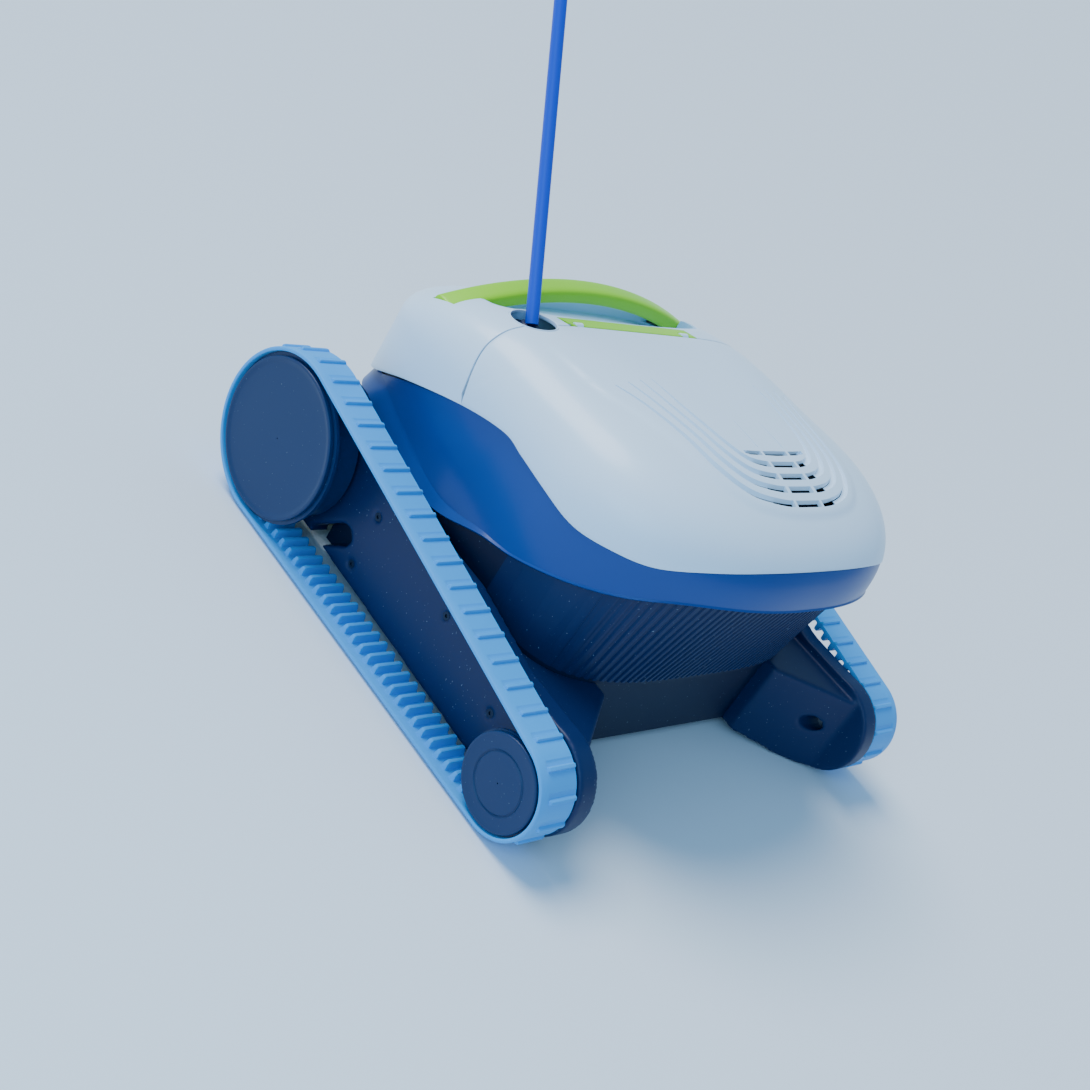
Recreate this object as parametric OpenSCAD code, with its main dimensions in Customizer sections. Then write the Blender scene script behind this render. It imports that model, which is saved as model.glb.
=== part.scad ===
// Tracked pool cleaning robot: twin belts, domed lid with an outlet grille, carrying handle and cable.
// Frame: X across the machine, -Y is the nose (small wheels, grille), +Y the tail (large wheels, handle),
// Z up. The origin is on the ground under the middle of the machine.

/* [Tracks] */
// Width over the two tracks
overall_w = 400; // [320:1:500]
// Distance between the front and rear wheel axles, measured along Y
wheel_base = 293; // [240:1:360]
// Width of each belt
belt_w = 31; // [24:1:40]
// Radius of the belt's inner face round the front wheel
front_r = 33; // [28:0.5:40]
// Radius of the belt's inner face round the rear wheel
rear_r = 59; // [50:0.5:72]
// Thickness of the belt's plain band
band_t = 3; // [2:0.5:4]
// Height of the outer cleats
cleat_h = 2; // [1:0.5:3]
// Height of the inner lugs
lug_h = 6; // [4:0.5:7]
// Number of outer cleats on a belt; there are two inner lugs to each
cleat_count = 47; // [36:1:60]

/* [Body] */
// Height of the crown of the lid above the ground
crown_z = 230; // [200:1:270]
// Height of the body's widest line, where the dome begins
waist_z = 165; // [150:1:175]
// Y place of the body's widest section
mid_y = -40; // [-60:1:-20]
// How far the nose stands ahead of the front axle
nose_over = 6; // [2:0.5:12]
// How far the tail stands behind the rear axle
tail_over = 38.5; // [30:0.5:45]
// Wall of the outer shells
shell_t = 3; // [2:0.5:4]
// Joint line between neighbouring shells
seam_gap = 0.6; // [0.4:0.1:1]

/* [Side frames] */
// Thickness of each side frame
frame_t = 16.5; // [12:0.5:22]
// Clear space between a side frame and its belt
track_gap = 1.5; // [1:0.5:3]
// Height of the front leg's straight top edge
leg_top = 75; // [70:1:82]
// Height of the side frame's deck behind the leg
frame_top = 88; // [84:1:92]

/* [Lid hinge] */
// Y place of the joint line between lid and rear cover, on top
seam_y = 66; // [60:1:72]
// Radius of the hinge pins
pin_r = 1.2; // [1:0.1:1.5]
// Place of each hinge knuckle's middle to the side of the centre line
knuckle_x = 58; // [50:1:60]

/* [Wheels and drive] */
// Running clearance between a shaft and its bore, on the radius
run_fit = 0.05; // [0.02:0.01:0.1]
// Radius of the fixed rear axles
rear_axle_r = 8; // [6:0.5:9]
// Radius of the fixed front axles
front_axle_r = 6; // [4:0.5:8]
// Radius of the pinion shafts
shaft_r = 4; // [3:0.5:5]
// Gear module
gear_m = 2; // [1.5:0.5:2]
// Teeth on each pinion
pinion_teeth = 12; // [11:1:13]
// Radius of the brush roller over its fins
brush_r = 31.5; // [24:0.5:32]

/* [Filter and pump] */
// Width of the filter basket
basket_w = 232; // [180:1:240]
// Height of the filter basket's rim
basket_top = 188; // [160:1:190]
// Radius of the pump motor
motor_r = 26; // [20:0.5:28]
// Inside radius of the pump's outlet duct
duct_r = 35.5; // [30:0.5:37]
// Clearance between the impeller blades and the duct
tip_gap = 1; // [0.5:0.1:2]

/* [Cable] */
// Diameter of the floating cable
cable_d = 9; // [7:0.5:11]
// Radius of the round cable gland
gland_r = 15.5; // [12:0.5:17]

/* [Hidden] */
$fn = 64;

// Belt and wheel places: both axles stand a belt's thickness above the ground.
belt_t = band_t + cleat_h;
front_z = front_r + belt_t;
rear_z = rear_r + belt_t;
front_y = -(wheel_base + rear_r - front_r) / 2;
rear_y = (wheel_base - (rear_r - front_r)) / 2;
track_tilt = atan((rear_r - front_r) / wheel_base);
lug_count = 2 * cleat_count;
belt_in = overall_w / 2 - belt_w;
edge_strip = 7;
lug_gap = 0.5;

// Body and frame faces follow the width over the tracks.
frame_out = belt_in - track_gap;
frame_in = frame_out - frame_t;
body_a = frame_in - 1;
nose_l = mid_y - (front_y - nose_over);
tail_l = rear_y + tail_over - mid_y;
rise = crown_z - waist_z;
skirt_low = 92;
shell_foot = 85;
nose_exp = 2.5;
tail_exp = 6;
ring_n = 64;
level_n = 11;
big = 400;

// Chassis pan and the walls that stand on it
pan_z = 8;
pan_wall = 3;
pan_half = 95;
pan_front = front_y + 41.5;
pan_rear = rear_y - 39.5;
deck_z = 72;
wall_top = 150;
inner_off = shell_t + 2.8;
rib_pitch = 6;
rib_h = 1.2;
panel_top = 172;
panel_a = body_a - inner_off;

// Gears
ring_teeth = 2 * floor((rear_r - lug_h - lug_gap - 8.3 - 1.1 * gear_m) / gear_m + 0.01);
ring_pitch_r = gear_m * ring_teeth / 2;
pinion_pitch_r = gear_m * pinion_teeth / 2;
gear_dist = ring_pitch_r - pinion_pitch_r;
gear_x = belt_in + 3;
gear_w = 10;
drum_x = belt_in + 2.5;
flange_x = overall_w / 2 - 6.4;
cover_x = overall_w / 2 - 3.8;

// Pump and basket places
pump_y = pan_front + pan_wall + motor_r + 1;
motor_top = 150;
duct_z = 168;
duct_h = 38;
basket_front = pump_y + motor_r + 20;
basket_rear = seam_y - 22;
basket_z = 40;
basket_wall = 2.5;
mouth_w = 80;
mouth_l = 18;
mouth_x = 62;
mouth_y = (basket_front + basket_rear) / 2;
flap_t = 1.5;
flap_barrel_r = pin_r + 1.1;
flap_y = mouth_y + mouth_l / 2 - flap_barrel_r - 1;
flap_z = pan_z + pan_wall + 0.5;
flap_play = 0.5;
boss_w = 4;

// Lid hinge: the axis lies just behind the joint line and just under the skin.
hinge_y = seam_y + 4.5;
hinge_z = dome_z(0, seam_y) - 2.7;
knuckle_r = pin_r + 1.4;
knuckle_w = 8;
lid_gap = 2 * seam_gap;

// Handle and its tray
tray_front = seam_y + 15;
tray_a = 110;
tray_l = 29.5;
tray_y = tray_front + tray_l;
tray_z = crown_z - 46;
handle_y = seam_y + 56;
handle_d = 18;
handle_h = 12;
handle_half = body_a - 19;
handle_end_z = dome_z(handle_half, handle_y);
handle_rise = 25;
handle_bow = (handle_half * handle_half + handle_rise * handle_rise) / (2 * handle_rise);
bow_z = handle_end_z + handle_rise - handle_bow;
handle_low = bow_z + sqrt(pow(handle_bow - handle_h, 2) - tray_a * tray_a) - 0.5;

// The cable's route, straight up and back from its gland
cable_route = [[-98, 74, 212], [-96, 86, 227], [-94, 98, 242], [-92, 110, 257], [-90, 122, 272],
  [-88, 134, 287], [-86, 146, 302], [-84, 158, 317], [-82, 170, 332], [-80, 182, 347], [-78, 194, 362],
  [-76, 206, 377], [-74, 218, 392], [-72, 230, 407], [-70, 242, 422], [-68, 254, 437]];
gland_p = cable_route[0];

// ---- Functions ---------------------------------------------------------------------------------------

function signed_pow(v, p) = sign(v) * pow(abs(v), p);

// Share of the dome's rise reached at height z, inside an offset of off
function dome_share(z, off) = min(1, max(0, (z - waist_z) / (rise - off)));

// Half width, nose reach and tail reach of the body at a share t of the rise
function half_at(t, off) = (body_a - off) * pow(max(0, 1 - pow(t, 3)), 1 / 3);
function nose_at(t, off) = (nose_l - off) * pow(max(0, 1 - pow(t, 2.5)), 1 / 2.5);
function tail_at(t, off) = (tail_l - off) * pow(max(0, 1 - pow(t, 1.8)), 1 / 1.8);

// A point of the body's plan at angle a: a superellipse, blunter at the tail than at the nose
function plan_point(a, half, nose, tail, nose_e = nose_exp, tail_e = tail_exp) =
  let (e = sin(a) < 0 ? nose_e : tail_e, reach = sin(a) < 0 ? nose : tail)
  [half * signed_pow(cos(a), 2 / e), mid_y + reach * signed_pow(sin(a), 2 / e)];

function body_plan(z, off) = let (t = dome_share(z, off))
  [for (k = [0 : ring_n - 1]) plan_point(360 * k / ring_n, half_at(t, off), nose_at(t, off), tail_at(t, off))];

function body_ring(z, off) = [for (p = body_plan(z, off)) [p[0], p[1], z]];

// How far outside the body's plan a place is at height z: over 1 is outside
function plan_value(x, y, z) =
  let (t = dome_share(z, 0), e = y < mid_y ? nose_exp : tail_exp,
    reach = y < mid_y ? nose_at(t, 0) : tail_at(t, 0), half = half_at(t, 0))
  pow(abs(x) / max(half, 0.001), e) + pow(abs(y - mid_y) / max(reach, 0.001), e);

// Height of the dome's surface over a place, by halving
function dome_z(x, y, low = waist_z, high = crown_z, steps = 24) =
  steps == 0 ? (low + high) / 2
  : plan_value(x, y, (low + high) / 2) > 1 ? dome_z(x, y, low, (low + high) / 2, steps - 1)
  : dome_z(x, y, (low + high) / 2, high, steps - 1);

// A side-view place from shares of the body's length and height: u is -1 at the nose and 1 at the tail,
// v is 1 at the crown, 0 at the waist and -1 at the skirt's lowest edge
function side_point(p) = [mid_y + p[0] * (p[0] < 0 ? nose_l : tail_l),
  waist_z + p[1] * (p[1] > 0 ? rise : waist_z - skirt_low)];

// Smooth curve through points
function curve_part(a, b, c, d, t) = 0.5 * (2 * b + (c - a) * t + (2 * a - 5 * b + 4 * c - d) * t * t
  + (3 * b - a - 3 * c + d) * t * t * t);
function smooth_line(p, n) = [for (i = [0 : len(p) - 2], k = [0 : n - 1])
  curve_part(p[max(i - 1, 0)], p[i], p[i + 1], p[min(i + 2, len(p) - 1)], k / n), p[len(p) - 1]];
function shifted(line, dy, dz) = [for (p = line) [p[0] + dy, p[1] + dz]];

// Lower edge of the pale shells and lower edge of the dark skirt, from tail to nose
pale_edge = smooth_line([for (p = [[1.05, -0.8], [0.9, -0.67], [0.69, -0.36], [0.425, -0.055], [0.23, 0.105],
  [0.13, 0.075], [-0.01, 0.02], [-0.25, -0.02], [-0.47, 0.045], [-0.66, 0.14], [-0.83, 0.34], [-0.98, 0.52],
  [-1.1, 0.54]]) side_point(p)], 3);
skirt_edge = smooth_line([for (p = [[1.05, -0.93], [0.85, -0.86], [0.66, -0.91], [0.51, -0.97], [0.39, -1],
  [0.28, -0.96], [0.11, -0.77], [-0.04, -0.67], [-0.38, -0.45], [-0.62, -0.26], [-0.83, -0.05],
  [-0.98, 0.04], [-1.1, 0.06]]) side_point(p)], 3);

// Joint line between lid and rear cover in side view, from the waist up
seam_line = [[seam_y - 16, waist_z - 2], [seam_y - 9, waist_z + 20], [seam_y - 3, waist_z + 36],
  [seam_y, waist_z + 45], [seam_y, crown_z + 20]];
seam_foot = [seam_y - 16, 0];
above_edge = concat([[pale_edge[0][0], crown_z + 20]], shifted(pale_edge, 0, seam_gap / 2),
  [[pale_edge[len(pale_edge) - 1][0], crown_z + 20]]);

// Belt outline: place at distance s round the loop, at depth d outside the belt's inner face
mid_d = band_t / 2;
rear_arc = (rear_r + mid_d) * (180 + 2 * track_tilt) * PI / 180;
front_arc = (front_r + mid_d) * (180 - 2 * track_tilt) * PI / 180;
loop_len = 2 * wheel_base + rear_arc + front_arc;
function belt_point(s, d) =
  s < wheel_base ? [rear_y - s, rear_z - rear_r - d]
  : s < wheel_base + front_arc ?
    let (a = 270 - (s - wheel_base) / front_arc * (180 - 2 * track_tilt))
    [front_y + (front_r + d) * cos(a), front_z + (front_r + d) * sin(a)]
  : s < 2 * wheel_base + front_arc ?
    let (f = s - wheel_base - front_arc, a = 90 + 2 * track_tilt)
    [front_y + (front_r + d) * cos(a) + f * cos(2 * track_tilt),
      front_z + (front_r + d) * sin(a) + f * sin(2 * track_tilt)]
  : let (a = 90 + 2 * track_tilt - (s - 2 * wheel_base - front_arc) / rear_arc * (180 + 2 * track_tilt))
    [rear_y + (rear_r + d) * cos(a), rear_z + (rear_r + d) * sin(a)];

// One pitch of each side of the belt: share of the pitch and share of the tooth's height
cleat_shape = [[0, 0], [0.12, 0], [0.16, 1], [0.36, 1], [0.4, 0], [0.6, 0], [0.8, 0]];
lug_shape = [[0, 0], [0.22, 0], [0.28, 0.85], [0.36, 1], [0.58, 1], [0.66, 0.85], [0.72, 0]];
function belt_outer(h) = [for (i = [0 : cleat_count - 1], c = cleat_shape)
  belt_point((i + c[0]) * loop_len / cleat_count, band_t + h * c[1])];
function belt_inner(h) = [for (i = [0 : lug_count - 1], c = lug_shape)
  belt_point((i + c[0]) * loop_len / lug_count, -h * c[1])];

// Outline of a straight-sided gear tooth row; tip and root radii, share of the pitch that is tooth
function gear_outline(teeth, tip_r, root_r, tip_share, root_share, turn) =
  [for (i = [0 : teeth - 1], q = [[-root_share / 2, root_r], [-tip_share / 2, tip_r], [tip_share / 2, tip_r],
    [root_share / 2, root_r]]) let (a = turn + 360 * (i + q[0]) / teeth) [q[1] * cos(a), q[1] * sin(a)]];

// ---- Helpers -----------------------------------------------------------------------------------------

// Draws a flat shape of the Y-Z plane as a slab from x0 to x1
module slab_x(x0, x1) {
  translate([x0, 0, 0]) rotate([90, 0, 90]) linear_extrude(x1 - x0) children();
}

module rod_x(x0, x1, y, z, r) {
  translate([x0, y, z]) rotate([0, 90, 0]) cylinder(r = r, h = x1 - x0);
}

module block(x0, x1, y0, y1, z0, z1) {
  translate([x0, y0, z0]) cube([x1 - x0, y1 - y0, z1 - z0]);
}

// Left pieces are the mirror image of right ones
module left_of() {
  mirror([1, 0, 0]) children();
}

// Solid dome: body plan rings from z0 up to the crown, inside an offset
module dome_solid(off, z0) {
  levels = [z0, for (i = [0 : level_n]) waist_z + (rise - off) * sin(90 * i / (level_n + 1))];
  rows = len(levels);
  points = concat([for (z = levels) each body_ring(z, off)], [[0, mid_y, waist_z + rise - off]]);
  sides = [for (r = [0 : rows - 2], k = [0 : ring_n - 1]) each
    let (a = r * ring_n + k, b = r * ring_n + (k + 1) % ring_n)
    [[a, a + ring_n, b + ring_n], [a, b + ring_n, b]]];
  top = [for (k = [0 : ring_n - 1])
    [(rows - 1) * ring_n + k, rows * ring_n, (rows - 1) * ring_n + (k + 1) % ring_n]];
  polyhedron(points, concat(sides, top, [[for (k = [0 : ring_n - 1]) k]]));
}

// Outer shell of the whole body, open below
module dome_shell() {
  difference() {
    dome_solid(0, shell_foot);
    dome_solid(shell_t, shell_foot - 1);
  }
}

module plan_super(cy, half_x, half_y, e) {
  polygon([for (k = [0 : 63])
    let (a = 360 * k / 64) [half_x * signed_pow(cos(a), 2 / e), cy + half_y * signed_pow(sin(a), 2 / e)]]);
}

// Plan of the deck: the body's plan behind, the ribbed panel's foot in front
module deck_plan(off) {
  polygon([for (k = [0 : ring_n - 1]) plan_point(360 * k / ring_n, panel_a - off,
    mid_y - pan_front + 8 - off, tail_l - inner_off - off, 3.5, tail_exp)]);
}

module pan_plan(off) {
  x1 = frame_in - off;
  polygon([[-pan_half + off, pan_front + off], [pan_half - off, pan_front + off],
    [pan_half - off, pan_front + 18 + off / 2], [x1, pan_front + 58 + off], [x1, pan_rear - off],
    [-x1, pan_rear - off], [-x1, pan_front + 58 + off], [-pan_half + off, pan_front + 18 + off / 2]]);
}

module flap_rods(r) {
  for (s = [-1, 1])
    rod_x(s * mouth_x - mouth_w / 2 - boss_w, s * mouth_x + mouth_w / 2 + boss_w, flap_y, flap_z, r);
}

module mouth_cut(z0, z1) {
  for (s = [-1, 1])
    block(s * mouth_x - mouth_w / 2, s * mouth_x + mouth_w / 2, mouth_y - mouth_l / 2, mouth_y + mouth_l / 2,
      z0, z1);
}

// Plan cut for the hinge strip
module trim_plan(off) {
  translate([-70 - off, seam_y + lid_gap - off]) square([140 + 2 * off, 13.2 + 2 * off]);
}

// Side outline of a frame: round leg nose, straight deck, round tail about the rear axle
module frame_side() {
  leg_r = front_z - 0.4;
  translate([front_y, front_z]) circle(leg_r);
  translate([rear_y, rear_z]) circle(50);
  polygon([[front_y, 0.4], [front_y + 30, pan_z - 2], [rear_y, rear_z - 50], [rear_y, rear_z + 50],
    [rear_y - 52, frame_top], [mid_y, frame_top], [pan_front + 8, leg_top], [front_y, leg_top]]);
}

module frame_window() {
  polygon([[rear_y - 40, 11], [rear_y - 47, 9], [rear_y - 73, 30], [rear_y - 74, 37], [rear_y - 67, 42],
    [rear_y - 60, 40], [rear_y - 36, 17]]);
}

module gear_2d(teeth, turn) {
  pitch_r = gear_m * teeth / 2;
  polygon(gear_outline(teeth, pitch_r + 0.8 * gear_m, pitch_r - 1.1 * gear_m, 0.2, 0.56, turn));
}

// ---- Chassis -----------------------------------------------------------------------------------------

module chassis_tub() color("#10305a") {
  difference() {
    union() {
      translate([0, 0, pan_z]) linear_extrude(deck_z - 3 - pan_z) pan_plan(0);
      translate([0, 0, deck_z - 3]) linear_extrude(3) {
        pan_plan(0);
        deck_plan(0);
      }
    }
    translate([0, 0, pan_z + pan_wall]) linear_extrude(deck_z) intersection() {
      pan_plan(pan_wall);
      deck_plan(pan_wall + 0.2);
    }
    mouth_cut(0, pan_z + pan_wall + 1);
    flap_rods(pin_r + 0.02);
  }
  difference() {
    for (s = [-1, 1], e = [-mouth_w / 2 - boss_w, mouth_w / 2])
      block(s * mouth_x + e, s * mouth_x + e + boss_w, flap_y - 4, flap_y + 4, pan_z + pan_wall - 0.5,
        flap_z + 3);
    flap_rods(pin_r + 0.02);
  }
  difference() {
    translate([0, 0, deck_z]) linear_extrude(wall_top - deck_z) difference() {
      deck_plan(0);
      deck_plan(pan_wall);
      translate([-big, mid_y - big]) square([2 * big, big]);
    }
    rod_x(-big, big, rear_y, rear_z + gear_dist, shaft_r + 2);
  }
  block(-frame_in + 8, frame_in - 8, pan_rear - pan_wall, pan_rear, deck_z - 1, wall_top - 12);
}

// The ribbed panel is a leaning wall: shares of its half width, the ribs' height at each, and its rows
panel_n = 2 * floor(panel_a * 0.92 / rib_pitch);
panel_side = [1, 0.999, 0.98, 0.95];
panel_share = concat([for (f = panel_side) -f],
  [for (i = [0 : panel_n - 1], q = [0, 0.1, 0.5, 0.6]) 0.92 * (2 * (i + q) / panel_n - 1)],
  [for (i = [len(panel_side) - 1 : -1 : 0]) panel_side[i]]);
panel_rib = concat([for (f = panel_side) 0], [for (i = [0 : panel_n - 1], q = [0, 1, 1, 0]) q * rib_h],
  [for (f = panel_side) 0]);
function panel_row(l, e, z, off, ribs) = [for (i = [0 : len(panel_share) - 1])
  let (f = panel_share[i], reach = (l - off) * pow(max(0, 1 - pow(abs(f), e)), 1 / e))
  [f * (panel_a - off), mid_y - reach - (ribs ? panel_rib[i] : 0), z]];

module front_rib_panel() color("#0e2c55") {
  foot_l = mid_y - pan_front + 8;
  top_l = nose_l - 11;
  m = len(panel_share);
  points = concat(panel_row(foot_l, 3.5, deck_z, 0, true), panel_row(top_l, 2.6, panel_top, 0, true),
    panel_row(top_l, 2.6, panel_top, pan_wall, false), panel_row(foot_l, 3.5, deck_z, pan_wall, false));
  walls = [for (r = [0 : 3], i = [0 : m - 2]) each
    let (a = r * m + i, b = ((r + 1) % 4) * m + i) [[a, b, b + 1], [a, b + 1, a + 1]]];
  ends = [[0, 3 * m, 2 * m], [0, 2 * m, m], [m - 1, 2 * m - 1, 3 * m - 1], [m - 1, 3 * m - 1, 4 * m - 1]];
  polyhedron(points, concat(walls, ends));
}

module bottom_plate() color("#0b2244") difference() {
  translate([0, 0, pan_z - 3]) linear_extrude(3) difference() {
    plan_super(mouth_y, 120, 62, 6);
    for (x = [-105, 105], y = [-46, 46]) translate([x, mouth_y + y]) circle(2);
  }
  mouth_cut(0, pan_z + 1);
}

module plate_screws() color("silver")
  for (x = [-105, 105], y = [-46, 46]) translate([x, mouth_y + y, pan_z - 3]) {
    cylinder(r = 2, h = 3);
    translate([0, 0, -1.4]) cylinder(r = 4, h = 1.4);
  }

module side_frame() {
  difference() {
    union() {
      slab_x(frame_in, frame_out) difference() {
        frame_side();
        frame_window();
      }
      intersection() {
        slab_x(pan_half, frame_in) intersection() {
          frame_side();
          translate([-big, 0]) square([2 * big, deck_z - 3.2]);
        }
        linear_extrude(big) polygon([[pan_half, pan_front - 11], [frame_in - 14, front_y - 2],
          [frame_in, front_y - 14], [frame_in, pan_front + 58], [pan_half, pan_front + 18]]);
      }
    }
    rod_x(0, big, rear_y, rear_z, rear_axle_r);
    rod_x(0, big, front_y, front_z, front_axle_r);
    rod_x(0, big, rear_y, rear_z + gear_dist, shaft_r + run_fit);
    rod_x(0, big, rear_y, rear_z - gear_dist, shaft_r + run_fit);
    for (p = frame_screw_places) rod_x(frame_out - 4, big, p[0], p[1], 3);
  }
}
frame_screw_places = [[front_y + 52, 40], [mid_y, 60], [rear_y - 84, 66], [rear_y - 84, 24]];

module side_frame_right() color("#0d3a70") side_frame();
module side_frame_left() color("#0d3a70") left_of() side_frame();

module frame_screws() color("silver")
  for (s = [0, 1]) mirror([s, 0, 0])
    for (p = frame_screw_places) {
      rod_x(frame_out - 4, frame_out - 2.6, p[0], p[1], 2);
      difference() {
        rod_x(frame_out - 2.6, frame_out - 0.8, p[0], p[1], 3);
        slab_x(frame_out - 1.6, frame_out) translate(p) circle(1.4, $fn = 6);
      }
    }

module rear_axles() color("silver")
  for (s = [0, 1]) mirror([s, 0, 0])
    rod_x(frame_in + 4, flange_x - 0.6, rear_y, rear_z, rear_axle_r);

module front_axles() color("silver")
  for (s = [0, 1]) mirror([s, 0, 0])
    rod_x(frame_in + 4, flange_x - 0.6, front_y, front_z, front_axle_r);

// ---- Outer shells ------------------------------------------------------------------------------------

module skirt_band() color("#004a92") difference() {
  intersection() {
    dome_shell();
    slab_x(-big, big) polygon(concat(shifted(pale_edge, 0, -seam_gap / 2),
      [for (i = [len(skirt_edge) - 1 : -1 : 0]) skirt_edge[i]]));
  }
  rod_x(-big, big, rear_y, rear_z + gear_dist, shaft_r + 1.5);
}

module rear_cover() color("#cfe4ff") difference() {
  union() {
    intersection() {
      dome_shell();
      slab_x(-big, big) intersection() {
        polygon(above_edge);
        polygon(concat([seam_foot + [lid_gap, 0]], shifted(seam_line, lid_gap, 0),
          [[rear_y + big, crown_z + 20], [rear_y + big, 0]]));
      }
    }
    intersection() {
      dome_solid(1, shell_foot);
      translate([gland_p[0], gland_p[1], gland_p[2] - 24]) cylinder(r = gland_r + 2.4, h = 40);
      block(-big, big, seam_y + lid_gap, big, 0, big);
    }
  }
  linear_extrude(big) {
    trim_plan(0.2);
    plan_super(tray_y, tray_a + 0.3, tray_l + 0.3, 3);
    translate([-handle_half - 0.3, handle_y - handle_d / 2 - 0.3])
      square([2 * handle_half + 0.6, handle_d + 0.6]);
  }
  translate([gland_p[0], gland_p[1], 0]) cylinder(r = gland_r, h = big);
}

module top_cover() color("#d8e9ff") {
  difference() {
    intersection() {
      dome_shell();
      slab_x(-big, big) intersection() {
        polygon(above_edge);
        polygon(concat([seam_foot], seam_line, [[front_y - big, crown_z + 20], [front_y - big, 0]]));
      }
    }
    translate([gland_p[0], gland_p[1], 0]) cylinder(r = gland_r + 1.5, h = big);
    for (row = [0 : 4], q = [[-37, 16], [-18, 36], [21, 16]])
      block(q[0] + row, q[0] + q[1] - row, grille_y(row) - 2.6, grille_y(row) + 2.6, waist_z, crown_z + 9);
  }
  for (s = [-1, 1]) difference() {
    union() {
      rod_x(s * knuckle_x - knuckle_w / 2, s * knuckle_x + knuckle_w / 2, hinge_y, hinge_z, knuckle_r);
      block(s * knuckle_x - knuckle_w / 2, s * knuckle_x + knuckle_w / 2, seam_y - 9, hinge_y, hinge_z - 1.5,
        hinge_z + 1.5);
    }
    rod_x(s * knuckle_x - knuckle_w, s * knuckle_x + knuckle_w, hinge_y, hinge_z, pin_r + run_fit);
  }
}
function grille_y(row) = pump_y + 10 - 10.3 * row;

module lid_catch() color("#10305a") intersection() {
  dome_solid(shell_t, shell_foot);
  block(-9, 9, front_y + 12, front_y + 15, panel_top - 8, crown_z);
}

module hinge_trim() color("#a4e02a") difference() {
  union() {
    intersection() {
      dome_shell();
      translate([0, 0, waist_z]) linear_extrude(big) trim_plan(0);
    }
    for (s = [-1, 1], q = [-1, 1])
      block(s * knuckle_x + q * ear_x - ear_w / 2, s * knuckle_x + q * ear_x + ear_w / 2, seam_y + lid_gap,
        hinge_y + 3, hinge_z - 3, hinge_z + 0.6);
  }
  for (s = [-1, 1]) {
    block(s * knuckle_x - knuckle_w / 2 - 0.4, s * knuckle_x + knuckle_w / 2 + 0.4, seam_y,
      hinge_y + knuckle_r + 0.6, waist_z, crown_z + 9);
    rod_x(s * knuckle_x - pin_half, s * knuckle_x + pin_half, hinge_y, hinge_z, pin_r);
  }
}
ear_w = 6;
ear_x = knuckle_w / 2 + 0.4 + ear_w / 2;
pin_half = ear_x + ear_w / 2;

module hinge_pins() color("silver")
  for (s = [-1, 1]) rod_x(s * knuckle_x - pin_half, s * knuckle_x + pin_half, hinge_y, hinge_z, pin_r);

module handle() color("#9fe02a") {
  intersection() {
    translate([0, handle_y - handle_d / 2, bow_z]) rotate([-90, 0, 0]) difference() {
      cylinder(r = handle_bow, h = handle_d, $fn = 180);
      translate([0, 0, -1]) cylinder(r = handle_bow - handle_h, h = handle_d + 2, $fn = 180);
    }
    block(-handle_half, handle_half, handle_y - big, handle_y + big, waist_z, crown_z + 60);
  }
  for (s = [-1, 1])
    block(s * (handle_half - 8) - 8, s * (handle_half - 8) + 8, handle_y - handle_d / 2,
      handle_y + handle_d / 2, handle_end_z - 30, handle_end_z - 6);
}

module handle_tray() color("#9cc8ee") intersection() {
  dome_solid(0.5, shell_foot);
  difference() {
    translate([0, 0, tray_z]) linear_extrude(big) plan_super(tray_y, tray_a, tray_l, 3);
    translate([0, 0, tray_z + 2]) linear_extrude(big) plan_super(tray_y, tray_a - 2, tray_l - 2, 3);
    block(-big, big, handle_y - handle_d / 2 - 0.3, handle_y + handle_d / 2 + 0.3, handle_low, big);
  }
}

// ---- Cable -------------------------------------------------------------------------------------------

cable_n = 12;
cable_dir = let (v = cable_route[1] - cable_route[0]) v / norm(v);
function unit(v) = v / norm(v);
cable_side = unit(cross(cable_dir, [1, 0, 0]));
cable_up = cross(cable_dir, cable_side);

module swept_tube(route, r) {
  m = len(route);
  points = [for (p = route, k = [0 : cable_n - 1])
    p + r * (cos(360 * k / cable_n) * cable_side + sin(360 * k / cable_n) * cable_up)];
  sides = [for (i = [0 : m - 2], k = [0 : cable_n - 1]) each
    let (a = i * cable_n + k, b = i * cable_n + (k + 1) % cable_n)
    [[a, b, b + cable_n], [a, b + cable_n, a + cable_n]]];
  polyhedron(points, concat(sides, [[for (k = [cable_n - 1 : -1 : 0]) k]],
    [[for (k = [0 : cable_n - 1]) (m - 1) * cable_n + k]]));
}

// Turns the Z axis on to the cable's direction
module along_cable(p) {
  translate(p) rotate([0, acos(cable_dir[2]), atan2(cable_dir[1], cable_dir[0])]) children();
}

module cable() color("#0a45c8") swept_tube(cable_route, cable_d / 2);

module cable_gland() color("#06103c") {
  translate([gland_p[0], gland_p[1], gland_p[2] - 26]) cylinder(r = gland_r, h = 20);
  intersection() {
    along_cable(gland_p - 12 * cable_dir) cylinder(r = cable_d / 2 + 2.5, h = 12, $fn = 12);
    translate([gland_p[0], gland_p[1], gland_p[2] - 6]) cylinder(r = 3 * gland_r, h = big, $fn = 8);
  }
}

module cable_connector() color("#06103c") along_cable(cable_route[len(cable_route) - 1]) {
  cylinder(r1 = cable_d / 2 + 1, r2 = cable_d / 2 + 4, h = 10);
  translate([0, 0, 10]) cylinder(r = cable_d / 2 + 6, h = 16);
  translate([0, 0, 26]) cylinder(r = cable_d / 2 + 4.5, h = 14);
}

// ---- Pump --------------------------------------------------------------------------------------------

module motor_housing() color("#2a2f38")
  translate([0, pump_y, pan_z + pan_wall]) cylinder(r = motor_r, h = motor_top - pan_z - pan_wall);

module motor_cap() color("#10305a") translate([0, pump_y, motor_top]) difference() {
  cylinder(r = motor_r + 1, h = 5);
  translate([0, 0, -1]) cylinder(r = 7, h = 7);
}

module shaft_seal() color("#202020") translate([0, pump_y, motor_top]) difference() {
  cylinder(r = 7, h = 6);
  translate([0, 0, -1]) cylinder(r = 3 + run_fit, h = 8);
}

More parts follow.
